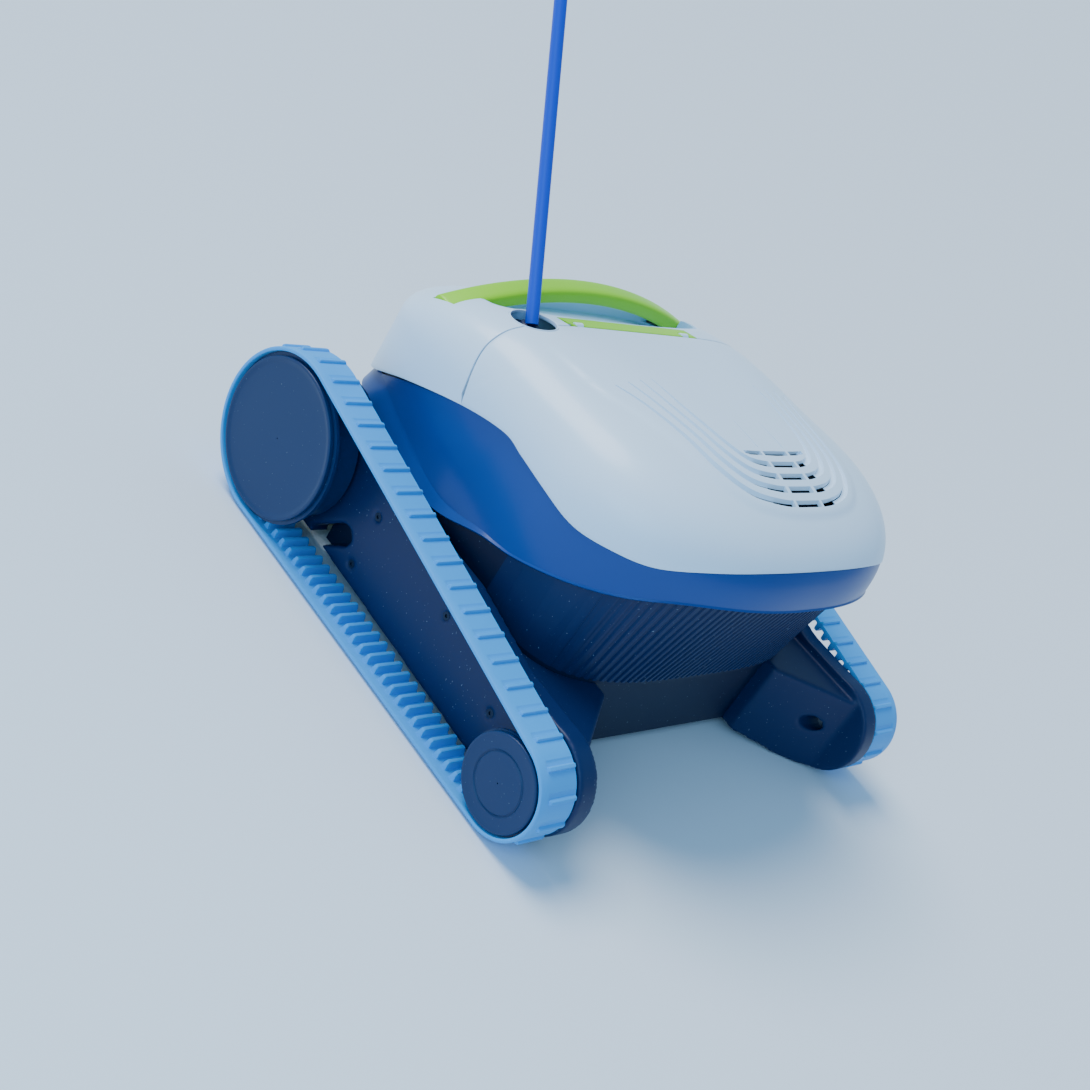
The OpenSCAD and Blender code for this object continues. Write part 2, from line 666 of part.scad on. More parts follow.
module impeller_duct() color("#10305a") translate([0, pump_y, 0]) {
  difference() {
    translate([0, 0, duct_z]) cylinder(r = duct_r + 2.5, h = duct_h);
    translate([0, 0, duct_z - 1]) cylinder(r = duct_r, h = duct_h + 2);
  }
  for (a = [45 : 90 : 315]) rotate([0, 0, a]) {
    block(duct_r - 4, duct_r + 2, -4, 4, motor_top + 2, duct_z + 0.01);
    block(motor_r - 6, duct_r + 2, -4, 4, motor_top + 5, motor_top + 8);
  }
}

module impeller_shaft() color("silver") translate([0, pump_y, motor_top + 0.3])
  cylinder(r = 3, h = 49);

module impeller() color("#e8eef5") translate([0, pump_y, duct_z + 8]) {
  difference() {
    union() {
      cylinder(r = 8, h = 20);
      intersection() {
        for (a = [0 : 90 : 270]) rotate([0, 0, a]) translate([5, 0, 10]) rotate([32, 0, 0])
          cube_at(32, 26, 2);
        cylinder(r = duct_r - tip_gap, h = 20);
      }
    }
    translate([0, 0, -1]) cylinder(r = 3, h = 22);
  }
}

module cube_at(l, w, t) {
  translate([0, -w / 2, -t / 2]) cube([l, w, t]);
}

// ---- Filter basket and intake ------------------------------------------------------------------------

module filter_basket() color("#d8e4ee") difference() {
  block(-basket_w / 2, basket_w / 2, basket_front, basket_rear, basket_z, basket_top);
  block(-basket_w / 2 + basket_wall, basket_w / 2 - basket_wall, basket_front + basket_wall,
    basket_rear - basket_wall, basket_z + basket_wall, basket_top + 1);
  block(-big, big, basket_front + 10, basket_rear - 10, basket_z + 12, basket_top - 14);
  mouth_cut(basket_z - 1, basket_z + 4);
}

module filter_screen() {
  block(basket_w / 2 - basket_wall, basket_w / 2 - basket_wall + 1, basket_front + 10, basket_rear - 10,
    basket_z + 12, basket_top - 14);
}
module filter_screen_right() color("#7f8fa0") filter_screen();
module filter_screen_left() color("#7f8fa0") left_of() filter_screen();

module basket_grip() color("#9fe02a") {
  block(-40, 40, mouth_y - 5, mouth_y + 5, basket_top - 6, basket_top - 1);
  for (y = [[basket_front + basket_wall, mouth_y - 5], [mouth_y + 5, basket_rear - basket_wall]])
    block(-6, 6, y[0], y[1], basket_top - 6, basket_top - 2);
}

module intake_flap() {
  x0 = mouth_x - mouth_w / 2 + flap_play;
  x1 = mouth_x + mouth_w / 2 - flap_play;
  difference() {
    union() {
      rod_x(x0, x1, flap_y, flap_z, flap_barrel_r);
      block(x0, x1, mouth_y - mouth_l / 2 + flap_play, flap_y, flap_z - flap_t / 2, flap_z + flap_t / 2);
    }
    rod_x(0, big, flap_y, flap_z, pin_r + run_fit);
  }
}
module intake_flap_right() color("#202833") intake_flap();
module intake_flap_left() color("#202833") left_of() intake_flap();

module flap_pins() color("silver") flap_rods(pin_r);

// ---- Tracks and wheels -------------------------------------------------------------------------------

module track_belt() {
  side = overall_w / 2;
  slab_x(side - edge_strip, side) difference() {
    polygon(belt_outer(0));
    polygon(belt_inner(0));
  }
  slab_x(belt_in, side - edge_strip) difference() {
    polygon(belt_outer(cleat_h));
    polygon(belt_inner(lug_h));
  }
}
module track_belt_right() color("#8fb7d8") track_belt();
module track_belt_left() color("#8fb7d8") left_of() track_belt();

// A wheel turned about X: drum, web, hub and outer flange
module wheel_body(y, z, r_in, axle_r) {
  drum_r = r_in - lug_h - lug_gap;
  hub_r = axle_r + run_fit;
  translate([0, y, z]) rotate([0, 90, 0]) rotate_extrude($fn = 96) {
    translate([drum_r - 4, drum_x]) square([4, flange_x - drum_x]);
    translate([hub_r, flange_x - 3]) square([drum_r - hub_r, 3]);
    translate([hub_r, drum_x]) square([4, flange_x - drum_x]);
    translate([drum_r - 6, flange_x - 0.5]) square([5.9, 1]);
    translate([drum_r - 6, flange_x]) square([r_in - 0.5 - drum_r + 6, cover_x - flange_x]);
  }
}

module drive_wheel() {
  drum_r = rear_r - lug_h - lug_gap;
  wheel_body(rear_y, rear_z, rear_r, rear_axle_r);
  slab_x(gear_x, gear_x + gear_w) translate([rear_y, rear_z]) difference() {
    circle(drum_r - 3.5);
    polygon(gear_outline(ring_teeth, ring_pitch_r - 0.8 * gear_m, ring_pitch_r + 1.1 * gear_m, 0.2, 0.56,
      90 + 180 / ring_teeth));
  }
}
module drive_wheel_right() color("#0b3d6e") drive_wheel();
module drive_wheel_left() color("#0b3d6e") left_of() drive_wheel();

module wheel_cover() {
  rod_x(cover_x, overall_w / 2, rear_y, rear_z, rear_r - 3);
}
module wheel_cover_right() color("#0a3a68") wheel_cover();
module wheel_cover_left() color("#0a3a68") left_of() wheel_cover();

module idler_wheel() {
  wheel_body(front_y, front_z, front_r, front_axle_r);
}
module idler_wheel_right() color("#0b3d6e") idler_wheel();
module idler_wheel_left() color("#0b3d6e") left_of() idler_wheel();

module idler_cap() {
  difference() {
    rod_x(cover_x, overall_w / 2, front_y, front_z, front_r - 1.5);
    slab_x(overall_w / 2 - 1, overall_w / 2 + 1) translate([front_y, front_z]) difference() {
      circle(20.6);
      circle(19.4);
    }
  }
}
module idler_cap_right() color("#0a3a68") idler_cap();
module idler_cap_left() color("#0a3a68") left_of() idler_cap();

// ---- Drive -------------------------------------------------------------------------------------------

module pinion(y, z, turn) {
  slab_x(gear_x + 0.5, gear_x + gear_w - 0.5) translate([y, z]) difference() {
    gear_2d(pinion_teeth, turn);
    circle(shaft_r);
  }
}
module drive_pinion_right() color("#e8e8e0") pinion(rear_y, rear_z + gear_dist, 90);
module drive_pinion_left() color("#e8e8e0") left_of() pinion(rear_y, rear_z + gear_dist, 90);

motor_out = 0.73 * panel_a;
motor_in = motor_out - 58;
hub_disc_r = 14;
hub_disc_w = 9;
module pinion_shaft() {
  rod_x(motor_out + 0.4, motor_out + 0.4 + hub_disc_w, rear_y, rear_z + gear_dist, hub_disc_r);
  rod_x(motor_out + 1, gear_x + gear_w, rear_y, rear_z + gear_dist, shaft_r);
}
module pinion_shaft_right() color("silver") pinion_shaft();
module pinion_shaft_left() color("silver") left_of() pinion_shaft();

module drive_motor() {
  block(motor_in, motor_out, rear_y - 28, rear_y + 8, deck_z, deck_z + 44);
}
module drive_motor_right() color("#2a2f38") drive_motor();
module drive_motor_left() color("#2a2f38") left_of() drive_motor();

brush_z = rear_z - gear_dist;
module brush_core() color("#d9d23a") difference() {
  rod_x(-frame_in + 4, frame_in - 4, rear_y, brush_z, 12);
  rod_x(-big, big, rear_y, brush_z, shaft_r);
}

module brush_fins() color("#e6df4a")
  slab_x(-frame_in + 8, frame_in - 8) translate([rear_y, brush_z]) difference() {
    intersection() {
      union() {
        for (a = [0 : 45 : 315]) rotate(a) translate([0, -1.2]) square([brush_r + 1, 2.4]);
        circle(13.5);
      }
      circle(brush_r);
    }
    circle(12);
  }

module brush_shaft() color("silver")
  rod_x(-gear_x - gear_w, frame_out - 4, rear_y, brush_z, shaft_r);

module brush_pinion() color("#e8e8e0") left_of() pinion(rear_y, brush_z, 270);

chassis_tub();
front_rib_panel();
bottom_plate();
side_frame_left();
side_frame_right();
skirt_band();
rear_cover();
top_cover();
lid_catch();
hinge_trim();
hinge_pins();
handle();
handle_tray();
cable_gland();
cable();
cable_connector();
motor_housing();
motor_cap();
shaft_seal();
impeller_duct();
impeller_shaft();
impeller();
filter_basket();
filter_screen_left();
filter_screen_right();
basket_grip();
intake_flap_left();
intake_flap_right();
flap_pins();
track_belt_left();
track_belt_right();
drive_wheel_left();
drive_wheel_right();
wheel_cover_left();
wheel_cover_right();
idler_wheel_left();
idler_wheel_right();
idler_cap_left();
idler_cap_right();
rear_axles();
front_axles();
pinion_shaft_left();
pinion_shaft_right();
drive_pinion_left();
drive_pinion_right();
drive_motor_left();
drive_motor_right();
brush_core();
brush_fins();
brush_shaft();
brush_pinion();
frame_screws();
plate_screws();
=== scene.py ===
# %% [markdown]
# # A tracked pool cleaning robot
# A pool robot is a plastic hull on two rubber belts. This lesson builds what the eye sees around that frame:
# finer shells, belts, wheels and legs, and the finish of every part.

# %% Load the frame
import bpy
import math
from mathutils import Matrix, Vector


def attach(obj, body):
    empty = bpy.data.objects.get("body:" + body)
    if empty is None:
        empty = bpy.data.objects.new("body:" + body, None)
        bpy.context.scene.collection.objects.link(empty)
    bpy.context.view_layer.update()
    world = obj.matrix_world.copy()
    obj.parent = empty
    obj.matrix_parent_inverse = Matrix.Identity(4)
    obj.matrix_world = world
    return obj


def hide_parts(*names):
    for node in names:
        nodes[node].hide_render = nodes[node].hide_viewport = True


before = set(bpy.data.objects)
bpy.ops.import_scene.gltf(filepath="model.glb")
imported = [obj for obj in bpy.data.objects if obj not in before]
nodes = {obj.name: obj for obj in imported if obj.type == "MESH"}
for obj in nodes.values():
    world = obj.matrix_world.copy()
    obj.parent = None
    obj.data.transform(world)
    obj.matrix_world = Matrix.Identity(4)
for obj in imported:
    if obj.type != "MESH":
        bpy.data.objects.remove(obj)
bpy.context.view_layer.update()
MM = 0.001
print("frame:", len(nodes), "nodes")

# %% [markdown]
# ## Camera and cable first
# The floating cable is held up by the water above, so it leaves its gland straight, leaning back over the
# tail, and ends in a waterproof in-line connector. It is one open spline through the same points as the CAD
# tube. The camera looks down on the nose from the front left, a little rolled.

# %% Camera
camera_data = bpy.data.cameras.new("camera")
camera = bpy.data.objects.new("camera", camera_data)
bpy.context.collection.objects.link(camera)
cam_right = Vector((0.6727, -0.5654, 0.4772))
cam_down = Vector((-0.0299, -0.6652, -0.7461))
cam_forward = Vector((0.7393, 0.4877, -0.4643))
camera.matrix_world = Matrix((
    (cam_right.x, -cam_down.x, -cam_forward.x, -0.9220),
    (cam_right.y, -cam_down.y, -cam_forward.y, -0.5726),
    (cam_right.z, -cam_down.z, -cam_forward.z, 0.6259),
    (0, 0, 0, 1)))
camera_data.sensor_width = 36
camera_data.lens = 55.79
camera_data.clip_end = 200
bpy.context.scene.camera = camera
print("camera at", [round(v, 3) for v in camera.location])


# %% Small helpers used by every piece
def only(*objs):
    """Leaves just these objects selected, the first one active."""
    if bpy.context.object and bpy.context.object.mode != "OBJECT":
        bpy.ops.object.mode_set(mode="OBJECT")
    bpy.ops.object.select_all(action="DESELECT")
    for obj in objs:
        obj.select_set(True)
    bpy.context.view_layer.objects.active = objs[0]


def tidy_mesh(obj, gap=0.02 * MM):
    """Merges doubled points and turns every face outwards."""
    only(obj)
    bpy.ops.object.mode_set(mode="EDIT")
    bpy.ops.mesh.select_all(action="SELECT")
    bpy.ops.mesh.remove_doubles(threshold=gap)
    bpy.ops.mesh.normals_make_consistent(inside=False)
    bpy.ops.object.mode_set(mode="OBJECT")


def modify(obj, kind, **settings):
    """Adds one modifier with its settings and applies it."""
    only(obj)
    mod = obj.modifiers.new(kind.lower(), kind)
    for key, value in settings.items():
        setattr(mod, key, value)
    bpy.ops.object.modifier_apply(modifier=mod.name)


def smooth(obj, angle=35):
    only(obj)
    bpy.ops.object.shade_smooth_by_angle(angle=math.radians(angle))


def round_edges(obj, width, angle=40, segments=2):
    modify(obj, "BEVEL", width=width * MM, segments=segments, limit_method="ANGLE",
           angle_limit=math.radians(angle), use_clamp_overlap=True)


def new_piece(name, verts, faces):
    mesh = bpy.data.meshes.new(name)
    mesh.from_pydata(verts, [], faces)
    obj = bpy.data.objects.new(name, mesh)
    bpy.context.collection.objects.link(obj)
    return obj


def prism(name, outline, low, high, along="z"):
    """A flat outline in mm, filled and extruded from low to high along one axis."""
    place = {"z": lambda u, v: (u, v, low), "x": lambda u, v: (low, u, v),
             "y": lambda u, v: (u, low, v)}[along]
    obj = new_piece(name, [[c * MM for c in place(u, v)] for u, v in outline], [list(range(len(outline)))])
    only(obj)
    bpy.ops.object.mode_set(mode="EDIT")
    bpy.ops.mesh.select_all(action="SELECT")
    step = {"z": (0, 0, 1), "x": (1, 0, 0), "y": (0, 1, 0)}[along]
    bpy.ops.mesh.extrude_region_move(TRANSFORM_OT_translate={"value": [c * (high - low) * MM for c in step]})
    bpy.ops.mesh.select_all(action="SELECT")
    bpy.ops.mesh.normals_make_consistent(inside=False)
    bpy.ops.object.mode_set(mode="OBJECT")
    return obj


def turned(name, profile, centre, axis=(1, 0, 0), steps=128):
    """Spins a closed profile of (distance along the axis, radius) in mm about an axis through centre."""
    along = Vector(axis).normalized()
    out = Vector((0, 0, 1)) if abs(along.z) < 0.9 else Vector((0, 1, 0))
    out = (out - along * out.dot(along)).normalized()
    base = Vector(centre) * MM
    verts = [base + along * h * MM + out * r * MM for h, r in profile]
    mesh = bpy.data.meshes.new(name)
    mesh.from_pydata(verts, [(i, (i + 1) % len(verts)) for i in range(len(verts))], [])
    obj = bpy.data.objects.new(name, mesh)
    bpy.context.collection.objects.link(obj)
    only(obj)
    bpy.ops.object.mode_set(mode="EDIT")
    bpy.ops.mesh.select_all(action="SELECT")
    bpy.ops.mesh.spin(steps=steps, angle=2 * math.pi, center=base, axis=along)
    bpy.ops.object.mode_set(mode="OBJECT")
    tidy_mesh(obj, 0.005 * MM)
    return obj


def cut(obj, *cutters, how="DIFFERENCE", solver="EXACT"):
    """Takes the cutters out of a piece, one boolean each, and removes them."""
    for cutter in cutters:
        modify(obj, "BOOLEAN", operation=how, object=cutter, solver=solver)
        bpy.data.objects.remove(cutter)


def mirrored(obj, name):
    """A copy on the other side of the machine, with its own mesh and its faces turned out again."""
    copy = obj.copy()
    copy.data = obj.data.copy()
    copy.name = name
    bpy.context.collection.objects.link(copy)
    for vert in copy.data.vertices:
        vert.co.x = -vert.co.x
    copy.data.flip_normals()
    return copy


def join(name, *objs):
    only(*objs)
    bpy.ops.object.join()
    bpy.context.object.name = name
    return bpy.context.object


print("helpers ready")

# %% [markdown]
# The cable's sheath is a curve with a round bevel, so it stays perfectly round at any zoom. Its connector is
# a turned piece with grip rings, laid on the end of the cable by one matrix.

# %% Cable, gland and connector
gland = Vector((-98, 74, 212))
step = Vector((2, 12, 15))
route = [(gland + step * i) * MM for i in range(16)]
cable_dir = step.normalized()
cable_curve = bpy.data.curves.new("floating_cable", "CURVE")
cable_curve.dimensions = "3D"
cable_curve.bevel_depth = 1.0
cable_curve.bevel_resolution = 8
cable_curve.use_fill_caps = True
spline = cable_curve.splines.new("POLY")
spline.points.add(len(route) - 1)
for point, place in zip(spline.points, route):
    point.co = (*place, 1)
    point.radius = 4.5 * MM
cable = bpy.data.objects.new("floating_cable", cable_curve)
bpy.context.collection.objects.link(cable)

end = route[-1] / MM
grip = [(10 + 3.2 * i + d, 10.5 - (0.9 if d in (1.4, 2.2) else 0)) for i in range(5) for d in (0, 1.4, 2.2)]
connector = turned("cable_connector_body", [(0, 0.5), (0, 5.4), (2, 6.2), (10, 8.6)] + grip + [
    (26, 10.5), (26.2, 9.0), (38.6, 9.0), (40, 7.8), (40, 0.5)], end, cable_dir, 48)
gland_piece = turned("cable_gland_cap", [(-26, 0.5), (-26, 15.4), (-7.2, 15.4), (-6.2, 14.6), (-6, 13.4),
    (-6.6, 12.6), (-6.6, 10.5), (-5.2, 8.8), (-3, 7.6), (-1, 7.0), (-0.4, 6.2), (-0.4, 0.5)],
    gland, (0, 0, 1), 64)
for piece in (connector, gland_piece):
    smooth(piece, 40)
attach(cable, "chassis")
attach(connector, "chassis")
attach(gland_piece, "chassis")
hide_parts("cable")
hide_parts("cable_connector")
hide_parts("cable_gland")

# %% [markdown]
# ## The body's surface
# Every outer shell lies on one surface: plan sections are superellipses that shrink towards the crown. Each
# shell is a grid whose columns run up that surface from its lower edge to its upper one, so that its edges
# follow the real joint lines and the facets stay even.

# %% The surface's formula
BODY_A, NOSE_L, TAIL_L, MID_Y, WAIST, RISE = 150, 125.5, 212, -40, 165, 65
SEAM_Y, LID_GAP = 66, 1.2


def spow(value, power):
    return math.copysign(abs(value) ** power, value)


def surface(a, z, off=0.0):
    """The point of the body's outer surface at plan angle a (radians) and height z, in mm."""
    t = min(1, max(0, (z - WAIST) / (RISE - off)))
    half = (BODY_A - off) * (1 - t ** 3) ** (1 / 3)
    nose = (NOSE_L - off) * (1 - t ** 2.5) ** (1 / 2.5)
    tail = (TAIL_L - off) * (1 - t ** 1.8) ** (1 / 1.8)
    e, reach = (2.5, nose) if math.sin(a) < 0 else (6, tail)
    return (half * spow(math.cos(a), 2 / e), MID_Y + reach * spow(math.sin(a), 2 / e), z)


def dome_z(x, y, off=0.0):
    """Height of the surface over a place in plan, by halving."""
    low, high = WAIST, WAIST + RISE - off
    for _ in range(30):
        z = (low + high) / 2
        t = (z - WAIST) / (RISE - off)
        e = 2.5 if y < MID_Y else 6
        reach = (NOSE_L - off) * (1 - t ** 2.5) ** (1 / 2.5) if y < MID_Y else (
            (TAIL_L - off) * (1 - t ** 1.8) ** (1 / 1.8))
        half = (BODY_A - off) * (1 - t ** 3) ** (1 / 3)
        value = (abs(x) / max(half, 0.01)) ** e + (abs(y - MID_Y) / max(reach, 0.01)) ** e
        low, high = (low, z) if value > 1 else (z, high)
    return (low + high) / 2


def smooth_line(points, n=8):
    """A curve through points, by Catmull-Rom."""
    line = []
    for i in range(len(points) - 1):
        p = [points[min(max(i + k, 0), len(points) - 1)] for k in (-1, 0, 1, 2)]
        for k in range(n):
            t = k / n
            line.append(tuple(0.5 * (2 * p[1][c] + (p[2][c] - p[0][c]) * t
                + (2 * p[0][c] - 5 * p[1][c] + 4 * p[2][c] - p[3][c]) * t * t
                + (3 * p[1][c] - p[0][c] - 3 * p[2][c] + p[3][c]) * t ** 3) for c in range(len(p[1]))))
    return line + [tuple(points[-1])]


def height_on(line, y):
    """Height of a side-view line (y falling) at y."""
    for (y0, z0), (y1, z1) in zip(line, line[1:]):
        if (y - y0) * (y - y1) <= 0 and y0 != y1:
            return z0 + (z1 - z0) * (y - y0) / (y1 - y0)
    return line[0][1] if y > line[0][0] else line[-1][1]


pale_edge = smooth_line([(182.6, 106.6), (150.8, 116.1), (106.3, 138.7), (50.1, 161), (8.8, 171.8),
    (-12.4, 169.9), (-41.3, 166.3), (-71.4, 163.5), (-99, 167.9), (-122.8, 174.1), (-144.2, 187.1),
    (-163, 198.8), (-178, 200.1)])
skirt_edge = smooth_line([(182.6, 97.1), (140.2, 102.2), (99.9, 98.6), (68.1, 94.2), (42.7, 92),
    (19.4, 94.9), (-16.7, 108.8), (-45, 116.1), (-87.7, 132.2), (-117.8, 146), (-144.2, 161.4),
    (-163, 167.9), (-178, 168.9)])


def edge_z(a, line, off=0.0):
    """Where a side-view line crosses the surface at plan angle a."""
    low, high = 85.0, 215.0
    for _ in range(30):
        z = (low + high) / 2
        low, high = (low, z) if z > height_on(line, surface(a, z, off)[1]) else (z, high)
    return (low + high) / 2


def seam_z(a):
    """Where the lid's rear joint line crosses the surface at plan angle a, or None."""
    def ahead(z):
        lean = [(163, 0), (185, 7), (200, 13), (211, 16), (230, 16)]
        y = SEAM_Y - 16 + (height_on([(p[0], p[1]) for p in reversed(lean)], z) if z > 163 else 0)
        return surface(a, z)[1] < y
    if ahead(163):
        return None
    low, high = 163.0, 229.99
    for _ in range(30):
        z = (low + high) / 2
        low, high = (low, z) if ahead(z) else (z, high)
    return (low + high) / 2


print("surface ready; crown over the seam at", round(dome_z(0, SEAM_Y), 2), "mm")


# %% Columns up the surface
def even_angles(first, last, count, z=WAIST):
    """Plan angles whose points are evenly spaced round the waist."""
    fine = [first + (last - first) * k / 4000 for k in range(4001)]
    walk = [0.0]
    for a, b in zip(fine, fine[1:]):
        walk.append(walk[-1] + math.dist(surface(a, z), surface(b, z)))
    angles, j = [], 0
    for k in range(count + 1):
        goal = walk[-1] * k / count
        while j < 4000 and walk[j + 1] < goal:
            j += 1
        share = (goal - walk[j]) / max(walk[min(j + 1, 4000)] - walk[j], 1e-9)
        angles.append(fine[j] + (fine[min(j + 1, 4000)] - fine[j]) * min(1, share))
    return angles


CROWN = 230        # height at which every column of the lid meets
SAMPLES = 240      # fine steps a column is measured with
SHELL_WALL = 2.6   # wall of the lid, rear cover and hinge strip


def column(a, z0, z1, rows):
    """Evenly spaced points up the surface from z0 to z1; the crown is one point for every column."""
    fine = []
    for k in range(SAMPLES + 1):
        share = k / SAMPLES
        if z1 > CROWN - 0.1:
            low = math.acos(max(0.0, 1 - max(0.0, (z0 - WAIST) / RISE) ** 3) ** (1 / 3))
            angle = low + (math.pi / 2 - low) * share
            z = WAIST + RISE * (1 - math.cos(angle) ** 3) ** (1 / 3)
            z = z0 + (z - z0) * min(1, share * 12) if z0 < WAIST else z
        else:
            z = z0 + (z1 - z0) * share
        fine.append(surface(a, z))
    walk = [0.0]
    for p, q in zip(fine, fine[1:]):
        walk.append(walk[-1] + math.dist(p, q))
    out, j = [], 0
    for k in range(rows + 1):
        goal = walk[-1] * k / rows
        while j < SAMPLES - 1 and walk[j + 1] < goal:
            j += 1
        share = min(1, (goal - walk[j]) / max(walk[j + 1] - walk[j], 1e-9))
        p, q = fine[j], fine[j + 1]
        out.append([p[c] + (q[c] - p[c]) * share for c in range(3)])
    return out


def shell(name, columns, thickness):
    """A grid primitive pulled on to columns of points, then given its wall inwards."""
    rows = len(columns[0]) - 1
    bpy.ops.object.select_all(action="DESELECT")
    bpy.ops.mesh.primitive_grid_add(x_subdivisions=len(columns) - 1, y_subdivisions=rows, size=1)
    obj = bpy.context.object
    obj.name = name
    order = sorted(range(len(obj.data.vertices)), key=lambda i: (
        round(obj.data.vertices[i].co.x, 6), round(obj.data.vertices[i].co.y, 6)))
    flat = [p for col in columns for p in col]
    for i, p in zip(order, flat):
        obj.data.vertices[i].co = [c * MM for c in p]
    tidy_mesh(obj, 0.004 * MM)
    middle = obj.data.polygons[len(obj.data.polygons) // 2]
    if middle.normal.dot(middle.center - Vector((0, MID_Y * MM, 0.12))) < 0:
        obj.data.flip_normals()
    modify(obj, "SOLIDIFY", thickness=thickness * MM, offset=-1, use_even_offset=False,
           use_quality_normals=True)
    return obj


def superellipse(cx, cy, ax, ay, e, n=72):
    return [(cx + ax * spow(math.cos(2 * math.pi * k / n), 2 / e),
             cy + ay * spow(math.sin(2 * math.pi * k / n), 2 / e)) for k in range(n)]


def circle(cx, cy, r, n=64):
    return superellipse(cx, cy, r, r, 2, n)


def rect(x0, x1, y0, y1):
    return [(x0, y0), (x1, y0), (x1, y1), (x0, y1)]


print("shell tools ready")

# %% [markdown]
# ## Top cover
# The lid is white ABS, injection moulded. Its columns run from the lower edge, or from the joint line behind,
# up to the crown. Four sunk channels start as thin lines on the shoulders, widen, and meet in front as the
# rows of the outlet grille. Each channel is a swept cutter, so its walls stay crisp.

# %% Lid shell
corner = next(a for a in (k * 1e-4 for k in range(2000)) if surface(a, 163)[1] > SEAM_Y - 16)
rear_span = even_angles(corner, math.pi - corner, 110)
side_span = even_angles(math.pi - corner, 2 * math.pi + corner, 170)
lid_columns = []
for a in rear_span[:-1]:
    lid_columns.append(column(a, (seam_z(a) or 163), CROWN, 64))
for a in side_span:
    lid_columns.append(column(a, edge_z(a, pale_edge) + 0.3, CROWN, 64))
lid = shell("lid_shell", lid_columns, SHELL_WALL)
shoulder = smooth_line([(112, 60), (108, 20), (104, -10), (95, -32), (86, -60), (77, -92), (58, -114.5),
    (30, -123.5), (0, -125.5)], 6)


def crease_drop(x, y):
    """How far the skin dips outside the soft shoulder line, in mm."""
    gap, side = 1e9, 1
    for (x0, y0), (x1, y1) in zip(shoulder, shoulder[1:]):
        dx, dy = x1 - x0, y1 - y0
        t = min(1, max(0, ((abs(x) - x0) * dx + (y - y0) * dy) / (dx * dx + dy * dy)))
        d = math.hypot(abs(x) - x0 - dx * t, y - y0 - dy * t)
        if d < gap:
            gap, side = d, dx * (y - y0) - dy * (abs(x) - x0)
    if side < 0:
        return 0.0
    fade = min(1, max(0, (SEAM_Y - 14 - y) / 40))
    return 1.5 * fade * min(1, gap / 4.5) * max(0, 1 - gap / 34)


for vert in lid.data.vertices:
    x, y = vert.co.x / MM, vert.co.y / MM
    if vert.co.z > 0.166:
        vert.co.z -= crease_drop(x, y) * MM
round_edges(lid, 0.7)
print("lid shell faces", len(lid.data.polygons))


# %% Channels and grille slots
def channel_line(k):
    """Plan line of channel k, from the left shoulder round the front to the right shoulder."""
    inner = [(57, -2), (54.5, -25), (50, -48), (44, -68), (35, -82), (20, -87.5), (0, -88.3)]
    outer = [(94, -6), (85, -27), (77.5, -56), (70, -88), (54, -109), (28, -118), (0, -119.6)]
    half = [tuple(p[c] + (q[c] - p[c]) * k / 3 for c in (0, 1)) for p, q in zip(inner, outer)]
    return smooth_line([(-x, y) for x, y in half] + [(x, y) for x, y in reversed(half[:-1])], 7)


def channel_cutter(name, line, first, last, width, floor, deep):
    """A swept wedge that follows the dome: full width at the skin, narrower at its floor."""
    verts, faces = [], []
    picked = line[first:last + 1]
    for i, (x, y) in enumerate(picked):
        ahead = picked[min(i + 1, len(picked) - 1)]
        behind = picked[max(i - 1, 0)]
        tx, ty = ahead[0] - behind[0], ahead[1] - behind[1]
        size = math.hypot(tx, ty)
        nx, ny = -ty / size, tx / size
        w, d = width(x, y) / 2, deep(x, y)
        z = dome_z(x, y)
        for s, h in ((-1, 0.8), (1, 0.8), (floor, -d), (-floor, -d)):
            verts.append([(x + nx * w * s) * MM, (y + ny * w * s) * MM, (z + h) * MM])
    for i in range(len(picked) - 1):
        for c in range(4):
            faces.append([4 * i + c, 4 * i + (c + 1) % 4, 4 * i + 4 + (c + 1) % 4, 4 * i + 4 + c])
    n = 4 * (len(picked) - 1)
    faces += [[3, 2, 1, 0], [n, n + 1, n + 2, n + 3]]
    obj = new_piece(name, verts, faces)
    tidy_mesh(obj, 0.001 * MM)
    return obj


RIB_X, RIB_HALF = 14.5, 1.0


def wide(x, y):
    """Channels grow from a scratch on the shoulder to 5.7 mm in front."""
    return 1.1 + 4.6 * min(1, max(0, (-y - 2) / 85)) ** 0.8


def deep(x, y):
    return 0.35 + 2.0 * min(1, max(0, (-y - 4) / 80)) ** 0.9


def spans(line):
    """The stretches of a line left of, between and right of the two ribs."""
    keep = [[], [], []]
    for i, (x, y) in enumerate(line):
        if x < -RIB_X - RIB_HALF:
            keep[0].append(i)
        elif abs(x) < RIB_X - RIB_HALF:
            keep[1].append(i)
        elif x > RIB_X + RIB_HALF:
            keep[2].append(i)
    return [(s[0], s[-1]) for s in keep]


lines = [smooth_line([(-33, -76.5), (-24, -77.6), (0, -78.2), (24, -77.6), (33, -76.5)], 9)]
lines += [channel_line(k) for k in range(4)]
fine_lines = []
for line in lines:
    dense = []
    for (x0, y0), (x1, y1) in zip(line, line[1:]):
        n = max(1, round(math.hypot(x1 - x0, y1 - y0) / 1.6))
        dense += [(x0 + (x1 - x0) * k / n, y0 + (y1 - y0) * k / n) for k in range(n)]
    fine_lines.append(dense + [line[-1]])
cutters = []
for k, line in enumerate(fine_lines):
    for j, (first, last) in enumerate(spans(line)):
        if k == 0:
            cutters.append(channel_cutter(f"row_{k}_{j}", line, first, last,
                                          lambda x, y: 5.0 - 0.06 * abs(x), 0.7,
                                          lambda x, y: 1.7))
        else:
            cutters.append(channel_cutter(f"row_{k}_{j}", line, first, last, wide, 0.6, deep))
